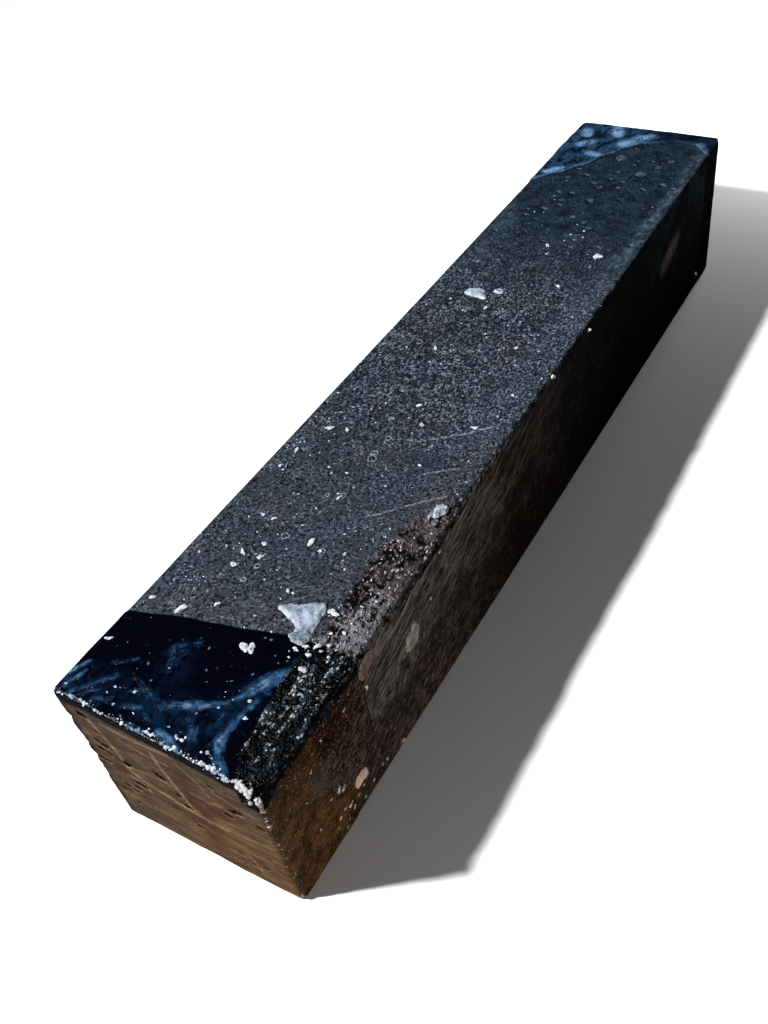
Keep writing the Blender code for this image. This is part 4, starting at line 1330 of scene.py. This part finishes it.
def far_wax_material(colours):
    """Mottled blue wax with a pale lip, clearer towards the right; its sides get a painted highlight towards
    their upper edge.
    """
    w = new_material("far_wax", colours.navy)
    upward = w.facing[2].step(0.45, 0.75)
    clearer = w.axes[0].step(21.0, 34.0)
    mottle = w.cloud(w.place, (2.3, 4.0, 2.3), 5.0, 0.65, 0.5)
    smoke = w.cloud(w.place, 5.0, 3.0, 0.6)
    pale = w.cloud(w.place, 1.1, 3.0, 0.7).step(0.44, 0.68)
    lip = w.painted("lip") * pale.step(0.0, 1.0, 0.25, 0.9)
    top = w.over(
        w.mix(mottle.step(0.38, 0.62), (0.001, 0.004, 0.012), (0.017, 0.05, 0.104)),
        (clearer, w.mix(mottle.step(0.36, 0.66), (0.001, 0.0046, 0.011), (0.005, 0.015, 0.031))),
        (w.painted("bloom") * mottle.step(0.32, 0.56, 0.15, 1.0), (0.165, 0.32, 0.55)),
        (lip * clearer.step(0.0, 1.0, 0.95, 0.3), (0.13, 0.225, 0.345)),
        (w.painted("dark") * smoke.step(0.3, 0.5), (0.0006, 0.0012, 0.0035)))
    # Painted highlight: the sides turn lighter and bluer towards their upper edge
    edge = w.axes[2].step(12.0, 44.0) * smoke.step(0.4, 0.6)
    side = w.mix(edge, (0.0003, 0.0006, 0.0014), (0.008, 0.017, 0.03))
    roughness = upward.step(0.0, 1.0, 0.9, mottle.step(0.3, 0.7, 0.22, 0.38))
    return w.shaded(w.mix(upward, side, top), roughness, 0.04, mottle * 1.4 + pale * 0.3, 0.0003)


# Flakes, crumbs and beads

FLAKE_VOXEL = 0.00016
ON_TOP_SINK = 0.00015
ON_SIDE_SINK = 0.0001

# How far in a flake thins towards its rim and looks paler, and how far its outline frays
RIM_THINS = 0.0007
RIM_PALES = 0.0009
FRAYED_SIZE = 0.0012
FRAYED = 0.00032
LOBE_LENGTH = 0.0009
CRUMB_RIM = 0.4

# Each flake's name, outline, thickness, wax, whether it lies on the right side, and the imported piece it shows
FLAKES = (
    ("white_patch", PATCH_OUTLINE, 0.0006, "frosted_wax", False, "wax_patch"),
    ("large_flake", LARGE_FLAKE_OUTLINE, 0.0006, "bluish_wax", False, "wax_flake_large"),
    ("small_flake", SMALL_FLAKE_OUTLINE, 0.0006, "frosted_wax", False, "wax_flake_small"),
    ("side_flake", SIDE_FLAKE_OUTLINE, 0.0007, "pink_wax", True, "wax_flake_side"),
    ("side_scab", SCAB_OUTLINE, 0.0005, "tan_wax", True),
    ("side_drip", DRIP_OUTLINE, 0.0006, "honey_wax", True),
    ("arris_lump", LUMP_OUTLINE, 0.0008, "frosted_wax", False),
    ("oval_flake", OVAL_OUTLINE, 0.0006, "bluish_wax", False),
)

# What turns a lump that lies on the top, and one on the right side; the last column faces out
ON_TOP = Matrix.Identity(3)
ON_SIDE = Matrix(((0, 0, 1), (1, 0, 0), (0, 1, 0)))


def flake_plate(name, outline, thickness, on_side):
    """A flake from its outline: an even fine mesh, thinner towards its rim, uneven on its face."""
    curve = bpy.data.curves.new(name, "CURVE")
    curve.dimensions = "2D"
    curve.fill_mode = "BOTH"
    curve.extrude = thickness / 2
    curve.resolution_u = 6
    line = curve.splines.new("NURBS")
    line.points.add(len(outline) - 1)
    for point, (first, second) in zip(line.points, outline):
        point.co = (first * MM, second * MM, 0.0, 1.0)
    line.use_cyclic_u = True
    line.order_u = 3
    made = bpy.data.objects.new(name, curve)
    bpy.context.scene.collection.objects.link(made)
    select_only(made)
    bpy.ops.object.convert(target="MESH")
    made = bpy.context.object
    remesh(made, FLAKE_VOXEL)
    apply_all(made)

    points = points_of(made)
    ends = np.array(outline) * MM
    sides = zip(ends, np.roll(ends, -1, axis=0))
    gap = np.min([near_line(points[:, :2], *side)[1] for side in sides], axis=0)
    bumps = rough(points, 0.0013, octaves=3) * 0.35 + rough(points, 0.0045) * 0.25
    rise = (points[:, 2] + thickness / 2) * (0.3 + 0.7 * smooth(0.0, RIM_THINS, gap)) * (1.0 + bumps)
    level = points * (1.0, 1.0, 0.0)
    place = points[:, :2] + FRAYED * np.column_stack([
        rough(level, FRAYED_SIZE, octaves=3, shift=shift) for shift in (0.0, 5.0)])
    fixed = np.full((len(points), 1), WIDTH if on_side else HEIGHT)
    boxed = np.hstack([fixed, place] if on_side else [place, fixed])
    sink = ON_SIDE_SINK if on_side else ON_TOP_SINK
    outward = (ON_SIDE if on_side else ON_TOP).col[2]
    set_points(made, worn(boxed) + np.outer(rise - sink, outward))
    paint(made, rim=1.0 - smooth(0.0, RIM_PALES, gap))
    turn_outward(made)
    return made


class BLANK_OT_flakes(bpy.types.Operator):
    """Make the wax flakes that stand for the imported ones, and thin ones that only the scene has"""

    bl_idname = "blank.flakes"
    bl_label = "Flakes"

    def execute(self, context):
        colours = context.scene.blank_colours
        tints = {
            "frosted_wax": colours.frost, "bluish_wax": (0.26, 0.32, 0.39), "white_wax": colours.white,
            "pink_wax": (0.92, 0.62, 0.52), "tan_wax": (0.4, 0.33, 0.265),
            "honey_wax": (0.2, 0.135, 0.105),
        }
        waxes = {name: white_wax_material(name, tint) for name, tint in tints.items()}
        for name, outline, thickness, wax, on_side, *node in FLAKES:
            made = flake_plate(name, outline, thickness, on_side)
            if name == "white_patch":
                paint(made, sunk=smooth(0.0362, 0.0335, points_of(made)[:, 1]))
            finish_piece(made, waxes[wax], "white_wax", *node)
        made = joined([
            crumb(on_block(across * MM, along * MM, HEIGHT), LOBE_LENGTH, 1.1, turn, ON_TOP, turn)
            for across, along, turn in CRUMB_LOBES], "white_crumb")
        paint(made, rim=CRUMB_RIM)
        finish_piece(made, waxes["white_wax"], "white_wax", "wax_crumb")
        return {"FINISHED"}


def white_wax_material(name, tint):
    """Frosted wax, cloudy inside and paler at its rim; bluer where it has sunk into the coat."""
    w = new_material(name, tint)
    tint = Color(tint)
    cloudy = w.cloud(w.place, 1.7, 4.0, 0.65)
    frost = w.cloud(w.place, 0.35, 2.0, 0.7)
    pale = [min(0.45 + 0.35 * c, 2.6 * c) for c in tint]
    tone = w.over(
        tint * 0.5,
        (cloudy.step(0.36, 0.62), tint * 1.2),
        (w.painted("sunk") * cloudy.step(0.6, 0.4, 0.55, 1.0), (0.04, 0.068, 0.105)),
        (frost.step(0.56, 0.72) * 0.6, pale),
        (w.painted("rim") * frost.step(0.35, 0.6, 0.1, 0.6), pale))
    return w.shaded(tone, cloudy.step(0.3, 0.7, 0.4, 0.6), 0.25, cloudy + frost * 0.5, 0.00018)


# Larger crumbs on the top: across, along and length in millimetres, stretch, turn in degrees
LARGE_CRUMBS = (
    (16, 51, 0.55, 1.2, 20), (17.5, 47.5, 0.6, 1.3, 70), (13.5, 43, 0.6, 1.2, 10),
    (13, 47, 0.5, 1.8, 140), (10.5, 58.5, 0.45, 1.4, 0), (13.5, 58.5, 0.45, 1.3, 50),
    (25.5, 56, 0.75, 1.5, 60), (28.5, 54.5, 0.45, 1.2, 30), (34, 56, 0.4, 1.3, 80),
    (23.5, 70.5, 0.5, 1.6, 60), (5, 80, 0.5, 1.6, 100), (4.5, 74, 0.4, 1.5, 90), (28.5, 42, 0.5, 1.2, 0),
    (30, 42, 0.4, 1.2, 0), (17, 32.5, 0.55, 1.5, 50), (11, 28, 0.9, 1.9, 60), (3, 28, 0.5, 1.3, 30),
    (26, 33.5, 0.35, 1.1, 0), (2, 15, 0.6, 2.0, 40), (28.5, 100.5, 0.6, 1.5, 150),
    (41, 104.5, 0.6, 1.4, 20), (44, 119.5, 0.4, 1.1, 0), (36.5, 138, 0.5, 1.4, 90),
    (16.5, 130, 0.55, 1.3, 110), (24.5, 107, 0.5, 1.7, 40), (8, 90.5, 0.7, 1.6, 50),
    (12.5, 91.5, 0.5, 1.4, 120), (35, 87.5, 0.35, 1.1, 0), (23, 188.5, 0.6, 1.5, 110),
    (39.5, 187, 1.15, 1.2, 10), (20.5, 152, 0.5, 1.6, 100), (35, 169, 0.5, 1.3, 0),
    (39, 12.5, 0.45, 1.2, 0), (37.5, 16, 0.4, 1.2, 0), (40, 41.5, 0.7, 1.2, 40), (41, 41, 0.6, 1.2, 0),
    (38.5, 30, 0.5, 1.2, 0), (40, 31.5, 0.6, 1.2, 30), (42, 32.5, 0.65, 1.2, 60),
    (41.5, 30, 0.5, 1.2, 0), (43.5, 32, 0.35, 1.2, 0), (43, 36.5, 0.35, 1.2, 0), (46, 38, 0.4, 1.3, 0),
    (44.5, 34, 0.4, 1.2, 0), (2, 2.5, 0.35, 1.2, 0), (11.5, 6.5, 0.3, 1.2, 0), (16, 7.5, 0.4, 1.2, 0),
    (19, 3.5, 0.3, 1.2, 0),
)

# Rings that burst bubbles left, in millimetres: across, along, radius
RINGS = (
    (18.5, 45, 0.75), (18, 40.5, 0.55), (19, 55, 1.0), (29, 54.5, 0.9), (23.5, 85, 1.2), (23, 87, 0.8),
    (24, 71.5, 0.8), (11, 131, 0.9), (19.5, 129, 0.7), (23.5, 93, 0.9), (20.5, 70, 0.6),
)

# Crumbs on the right side: along, up and length in millimetres, stretch, turn in degrees
SIDE_CRUMBS = (
    (19, 18.5, 0.75, 1.4, 40), (20.5, 17, 0.6, 1.5, 40), (35, 36.5, 0.45, 1.3, 90),
    (13.5, 36, 0.45, 1.3, 60), (18.5, 40.5, 0.4, 1.4, 100), (21, 8.5, 0.6, 1.5, 20),
    (24, 7.5, 0.5, 1.3, 0), (34, 5, 0.4, 1.3, 60), (36, 4.5, 0.45, 1.4, 60), (30, 4.5, 0.4, 1.2, 0),
    (16, 19.5, 0.35, 1.2, 0), (11, 15, 0.35, 1.2, 0), (15.5, 6.5, 0.45, 1.2, 0), (43, 2, 0.5, 1.3, 0),
    (62.5, 35, 0.45, 1.4, 30), (68.5, 45, 0.4, 1.4, 30), (131, 48.5, 0.8, 1.3, 150),
    (154.5, 47.5, 0.8, 1.4, 150), (19, 9.5, 0.45, 1.3, 0), (26.5, 8, 0.45, 1.3, 0),
    (22, 5.5, 0.4, 1.6, 60), (19.5, 4, 0.35, 1.5, 70), (17, 9, 0.4, 1.5, 50), (18, 2.5, 0.35, 1.4, 0),
    (26, 3, 0.35, 1.3, 30), (10, 29, 0.3, 1.2, 0), (26.5, 39.5, 0.45, 1.6, 10),
    (256.5, 5.5, 0.7, 2.2, 140),
)

# Strewn crumbs: across and along, where they begin to thin out and over what length, and their clumps' size
STREWN_ACROSS = (0.001, 0.049)
STREWN_ALONG = (0.004, 0.262)
THINNING_FROM = 0.04
THINNING = 0.075
CLUMP_SIZE = 0.013
SMALLEST_CRUMB = 0.00009
LARGEST_STREWN = 0.0003
CRUMB_SINK = 0.00006
RING_THICKNESS = 0.00011


def crumb(place, length, stretch, turn, stand, seed):
    """One lump of wax sunk a little into the surface that it lies on."""
    bpy.ops.mesh.primitive_ico_sphere_add(subdivisions=3, radius=length)
    made = bpy.context.object
    points = points_of(made)
    lumps = 1.0 + 1.2 * rough(points, length * 1.1, shift=(seed * 3.1, 0.0, 0.0))
    points = points * lumps[:, None] * (0.85 * stretch, 0.75, 0.5)
    turned = np.array(stand @ Matrix.Rotation(math.radians(turn), 3, "Z"))
    set_points(made, points @ turned.T + np.array(place + stand.col[2] * (0.12 * length)))
    return made


class BLANK_OT_crumbs(bpy.types.Operator):
    """Strew wax crumbs and burst rings over the top and the right side"""

    bl_idname = "blank.crumbs"
    bl_label = "Crumbs"

    def execute(self, context):
        white = context.scene.blank_colours.white
        large = [
            crumb(on_block(across * MM, along * MM, HEIGHT), length * MM, stretch, turn, ON_TOP, number)
            for number, (across, along, length, stretch, turn) in enumerate(LARGE_CRUMBS)]
        rings = [
            self.ring(across * MM, along * MM, radius * MM, number)
            for number, (across, along, radius) in enumerate(RINGS)]
        beside = [
            crumb(on_block(WIDTH, along * MM, up * MM), 0.9 * length * MM, stretch, turn, ON_SIDE, number)
            for number, (along, up, length, stretch, turn) in enumerate(SIDE_CRUMBS)]
        crumb_wax = white_wax_material("crumb_wax", white)
        self.complete(large, "wax_crumbs", crumb_wax)
        self.complete(rings, "wax_rings", white_wax_material("ring_wax", (0.16, 0.19, 0.23)))
        self.complete(beside, "side_crumbs", white_wax_material("warm_wax", (0.92, 0.76, 0.64)))
        self.complete(self.small_crumbs(context.scene.blank_sizes), "small_crumbs", crumb_wax)
        return {"FINISHED"}

    def ring(self, across, along, radius, number):
        """A thin uneven ring lying on the top."""
        bpy.ops.mesh.primitive_torus_add(
            major_radius=0.85 * radius, minor_radius=RING_THICKNESS, major_segments=28, minor_segments=6)
        made = bpy.context.object
        points = points_of(made)
        uneven = rough(points + 0.01 * number, 0.0008, octaves=2)
        points[:, :2] *= (1.0 + 0.45 * uneven)[:, None]
        points[:, 2] += 0.00012 * rough(points + 0.01 * number, 0.0006, shift=9.0) - 0.00002
        set_points(made, points + np.array(on_block(across, along, HEIGHT)))
        return made

    def small_crumbs(self, sizes):
        """Many little crumbs: one base shape, copied with its own size, turn and place."""
        draw = random.Random(sizes.seed)
        bpy.ops.mesh.primitive_ico_sphere_add(subdivisions=1, radius=1.0)
        base = bpy.context.object
        places = [
            (draw.gauss(across, spread) * MM, draw.gauss(along, 1.2 * spread) * MM, largest * MM)
            for across, along, spread, count, largest in CLUSTERS for number in range(count)]
        while len(places) < sizes.small_crumbs:
            across, along = draw.uniform(*STREWN_ACROSS), draw.uniform(*STREWN_ALONG)
            keep = math.exp(-max(0.0, along - THINNING_FROM) / THINNING)
            clump = 0.5 + 0.9 * noise.noise(Vector((across, along, 0.0)) / CLUMP_SIZE)
            if draw.random() < keep * max(0.12, clump):
                places.append((across, along, LARGEST_STREWN))
        copies = []
        for across, along, largest in places:
            size = SMALLEST_CRUMB + (largest - SMALLEST_CRUMB) * draw.random() ** 2.2
            made = base.copy()
            made.data = base.data.copy()
            bpy.context.scene.collection.objects.link(made)
            shape = Matrix.Diagonal((size * draw.uniform(0.8, 1.8), size, size * 0.7, 1.0))
            turn = Matrix.Rotation(draw.uniform(0.0, math.tau), 4, "Z")
            across, along = min(max(across, 0.0004), 0.0496), max(along, 0.0006)
            place = Matrix.Translation(on_block(across, along, HEIGHT) - Vector((0.0, 0.0, CRUMB_SINK)))
            made.data.transform(place @ turn @ shape)
            copies.append(made)
        bpy.data.objects.remove(base)
        return copies

    def complete(self, pieces, name, material):
        made = joined(pieces, name)
        paint(made, rim=CRUMB_RIM)
        finish_piece(made, material, "white_wax")


# Clusters of small crumbs on the top: across, along and spread in millimetres, number, largest radius
CLUSTERS = (
    (33.5, 16, 1.6, 16, 0.32), (30, 15, 2, 10, 0.22), (39, 30, 1.4, 10, 0.4), (40, 33, 1.2, 8, 0.4),
    (42, 41, 1, 8, 0.45), (8, 36, 1.4, 18, 0.22), (3, 79, 2.5, 34, 0.22), (6, 90, 3, 22, 0.24),
    (15, 50, 4, 20, 0.24), (26, 107, 4, 16, 0.26), (20, 130, 5, 14, 0.26), (6, 5, 3.4, 60, 0.3),
    (16, 4, 4.4, 50, 0.28), (13, 12, 4, 18, 0.2), (42, 62, 3, 20, 0.26), (22.5, 150, 5, 14, 0.28),
    (29, 162, 4, 10, 0.3), (29, 193, 3.5, 14, 0.36), (10, 205, 4, 8, 0.36), (33, 10, 3, 14, 0.2),
    (44, 50, 2.5, 20, 0.24),
)

# Chains of beads along the near top edge, in millimetres: across and along at both ends, radius
CRUST = (
    (0, 0, 3.5, 0.5, 0.26), (4, 1, 6, 1, 0.32), (7, 0.5, 10, 1, 0.4), (11, 0.5, 12.5, 0.5, 0.36),
    (13, 0.5, 16, 1.5, 0.26), (17, 1, 19, 1, 0.34), (20.5, 1, 22.5, 1, 0.32), (24, 1.5, 26.5, 1.5, 0.5),
    (27.5, 1, 28.5, 1, 0.38), (29, 0.5, 31, 1, 0.48), (30, 3.5, 31.5, 3, 0.46), (32, 1, 36, 1, 0.38),
    (37, 1, 40, 1.5, 0.45), (35.5, 2.5, 35.5, 2.5, 0.42), (37, 3.5, 38.5, 2.5, 0.44),
    (40, 1, 44, 0.5, 0.48), (45, 1.5, 46.5, 1, 0.42), (46.5, 0.5, 50, 0, 0.5),
)
LONE_BEADS = ((48, 45, 0.5), (49, 48, 0.55))

# Beads down the right upright edge, in millimetres: up, number, radius
UPRIGHT_CRUST = (
    (46, 12, 0.6), (44, 8, 0.5), (41.5, 6, 0.38), (38.5, 9, 0.52), (36.5, 9, 0.54), (33.5, 6, 0.36),
    (31, 5, 0.32), (27.5, 5, 0.34), (25, 4, 0.3), (21.5, 5, 0.28), (18, 5, 0.3), (14.5, 5, 0.26),
    (11, 5, 0.26), (8, 5, 0.24), (5, 6, 0.26), (2.5, 8, 0.34), (1, 10, 0.42),
)
CRUST_VOXEL = 0.00012
FINE_BEADS = 200
FINE_BEAD_RADII = (0.00011, 0.00026)
FINE_BEAD_BAND = 0.0011
BEAD_STRAY = 0.0002
BEAD_SHIFT = (0.0, 0.0002, -0.00008)
CRUST_PITS = 0.00014
CRUST_PIT_SIZE = 0.0005


class BLANK_OT_crust(bpy.types.Operator):
    """Make the crust of set beads along the near edges"""

    bl_idname = "blank.crust"
    bl_label = "Crust"

    def execute(self, context):
        draw = random.Random(context.scene.blank_sizes.seed + 1)
        beads = []
        for across, along, last_across, last_along, radius in CRUST:
            run, back = last_across - across, last_along - along
            count = 3 + 3 * int(math.hypot(run, back) / (1.2 * radius))
            for number in range(count):
                part = number / count
                first = across + part * run + draw.gauss(0.0, 0.8 * radius)
                second = along + part * back + draw.gauss(0.0, 0.7 * radius)
                place = (max(first, 0.0) * MM, max(second - 0.2, 0.0) * MM, HEIGHT)
                beads.append(self.bead(draw, place, radius * MM * draw.uniform(0.3, 1.05)))
        for number in range(FINE_BEADS):
            place = (draw.uniform(0.0, WIDTH), draw.uniform(0.0, FINE_BEAD_BAND), HEIGHT)
            beads.append(self.bead(draw, place, draw.uniform(*FINE_BEAD_RADII)))
        for across, up, radius in LONE_BEADS:
            beads.append(self.bead(draw, (across * MM, 0.0, up * MM), radius * MM))
        for up, count, radius in UPRIGHT_CRUST:
            for number in range(count):
                place = (WIDTH, 0.0, max(0.0, up + draw.uniform(-1.5, 1.5)) * MM)
                beads.append(self.bead(draw, place, radius * MM * draw.uniform(0.35, 1.0)))
        made = joined(beads, "near_crust")
        remesh(made, CRUST_VOXEL)
        made.modifiers.new("soften", "SMOOTH").iterations = 1
        apply_all(made)
        points = points_of(made)
        pitted = CRUST_PITS * rough(points, CRUST_PIT_SIZE, octaves=2)
        set_points(made, points + normals_of(made) * pitted[:, None])
        keep_above_floor(made)
        finish_piece(made, self.crust_material(context.scene.blank_colours), "white_wax")
        return {"FINISHED"}

    def bead(self, draw, edge_place, radius):
        centre = on_block(*edge_place) + Vector([draw.uniform(-BEAD_STRAY, BEAD_STRAY) for axis in range(3)])
        centre += Vector(BEAD_SHIFT)
        bpy.ops.mesh.primitive_ico_sphere_add(subdivisions=2, radius=radius, location=centre)
        made = bpy.context.object
        made.scale = (draw.uniform(0.9, 1.5), 1.0, draw.uniform(0.7, 1.0))
        bpy.ops.object.transform_apply()
        return made

    def crust_material(self, colours):
        """White and blue-grey along the top edge, pinkish down the upright one."""
        w = new_material("crust_wax", colours.white)
        cloudy = w.cloud(w.place, 2.2, 3.0, 0.6)
        low = w.mix(cloudy.step(0.4, 0.62), (0.085, 0.05, 0.034), (0.46, 0.36, 0.32))
        tone = w.over(
            (0.12, 0.185, 0.26),
            (cloudy.step(0.4, 0.54), colours.white),
            (w.axes[0].step(43.0, 47.0, 0.0, 0.75), (0.5, 0.44, 0.44)),
            (w.axes[2].step(46.0, 43.5), low))
        return w.shaded(tone, 0.45, 0.25, w.cloud(w.place, 0.5), 0.0001)


# The stage

CAMERA_PLACE = (0.12913, -0.04979, 0.19821)
CAMERA_TURN = (0.7883, 0.1256, 0.5384)
CAMERA_LENS = 33.2
CAMERA_SENSOR = 36.0
CAMERA_NEAR_CLIP = 0.005
KEY_PLACE = (-0.158, -0.168, 0.385)
SIDE_PLACE = (0.26, -0.08, 0.05)
BACK_PLACE = (0.06, 0.42, 0.08)
WEAK_LAMP_SIZE = 0.03
FLOOR_SIZE = 1.2
FLOOR_SHADE = 0.95


class BLANK_OT_stage(bpy.types.Operator):
    """Make the floor, the lamps, the room light and the camera"""

    bl_idname = "blank.stage"
    bl_label = "Stage"

    def execute(self, context):
        stage = context.scene.blank_stage
        bpy.ops.mesh.primitive_plane_add(size=FLOOR_SIZE)
        floor = bpy.context.object
        floor.name = "pale_floor"
        floor.data.materials.append(self.floor_material(stage))
        self.even_light(self.lamp("key_lamp", KEY_PLACE, stage.key_size, 1.0), stage.key_strength)
        self.lamp("side_lamp", SIDE_PLACE, WEAK_LAMP_SIZE, stage.side_power)
        self.lamp("back_lamp", BACK_PLACE, WEAK_LAMP_SIZE, stage.back_power)
        self.room(context.scene, stage)
        self.camera(context.scene)
        context.scene.view_settings.view_transform = "Standard"
        return {"FINISHED"}

    def floor_material(self, stage):
        """White to the camera and dark to the blank, so that little of its light reaches the shaded faces."""
        w = new_material("pale_floor", (FLOOR_SHADE,) * 3)
        seen = w.add("ShaderNodeLightPath")["Is Camera Ray"]
        return w.shaded(w.mix(seen, (stage.floor_bounce,) * 3, (FLOOR_SHADE,) * 3), 0.95, 0.0)

    def lamp(self, name, place, radius, power):
        light = bpy.data.lights.new(name, "POINT")
        light.shadow_soft_size = radius
        light.energy = power
        lamp = bpy.data.objects.new(name, light)
        bpy.context.scene.collection.objects.link(lamp)
        lamp.location = Vector(place) + BOARD
        lamp.visible_glossy = name == "key_lamp"
        return light

    def even_light(self, light, strength):
        """Light that doesn't fall off with distance."""
        light.use_nodes = True
        w = Wiring(light.node_tree)
        falloff = w.add("ShaderNodeLightFalloff", {"Strength": strength})
        w.plug(light.node_tree.nodes["Emission"], {"Strength": falloff["Constant"]})

    def room(self, scene, stage):
        """A dim grey room that the camera sees as white."""
        scene.world = bpy.data.worlds.new("room")
        scene.world.use_nodes = True
        w = Wiring(scene.world.node_tree)
        seen = w.add("ShaderNodeLightPath")["Is Camera Ray"]
        sockets = {"Strength": seen.step(0.0, 1.0, stage.room, 1.0), "Color": (1.0, 1.0, 1.0, 1.0)}
        w.plug(w.tree.nodes["Background"], sockets)

    def camera(self, scene):
        made = bpy.data.cameras.new("camera")
        made.lens = CAMERA_LENS
        made.sensor_width = CAMERA_SENSOR
        made.clip_start = CAMERA_NEAR_CLIP
        scene.camera = bpy.data.objects.new("camera", made)
        scene.collection.objects.link(scene.camera)
        scene.camera.location = Vector(CAMERA_PLACE) + BOARD
        scene.camera.rotation_euler = CAMERA_TURN


class BLANK_PT_panel(bpy.types.Panel):
    """Lists the pieces of the blank"""

    bl_label = "Waxed blank"
    bl_idname = "BLANK_PT_panel"
    bl_space_type = "VIEW_3D"
    bl_region_type = "UI"
    bl_category = "Blank"

    def draw(self, context):
        for name, kind in SETTINGS.items():
            for label in kind.__annotations__:
                self.layout.prop(getattr(context.scene, name), label)
        for operator in OPERATORS:
            self.layout.operator(operator.bl_idname)


OPERATORS = (
    BLANK_OT_stage, BLANK_OT_billet, BLANK_OT_near_coat, BLANK_OT_far_coat, BLANK_OT_flakes, BLANK_OT_crumbs,
    BLANK_OT_crust,
)
SETTINGS = {"blank_sizes": BlankSizes, "blank_colours": BlankColours, "blank_stage": StageSettings}
CLASSES = (*SETTINGS.values(), *OPERATORS, BLANK_PT_panel)


def register():
    for cls in CLASSES:
        bpy.utils.register_class(cls)
    for name, kind in SETTINGS.items():
        setattr(bpy.types.Scene, name, bpy.props.PointerProperty(type=kind))


def unregister():
    for name in SETTINGS:
        delattr(bpy.types.Scene, name)
    for cls in reversed(CLASSES):
        bpy.utils.unregister_class(cls)


def main():
    register()
    bpy.ops.blank.stage()
    bpy.ops.blank.billet()
    bpy.ops.blank.near_coat()
    bpy.ops.blank.far_coat()
    bpy.ops.blank.flakes()
    bpy.ops.blank.crumbs()
    bpy.ops.blank.crust()


if __name__ == "__main__":
    main()
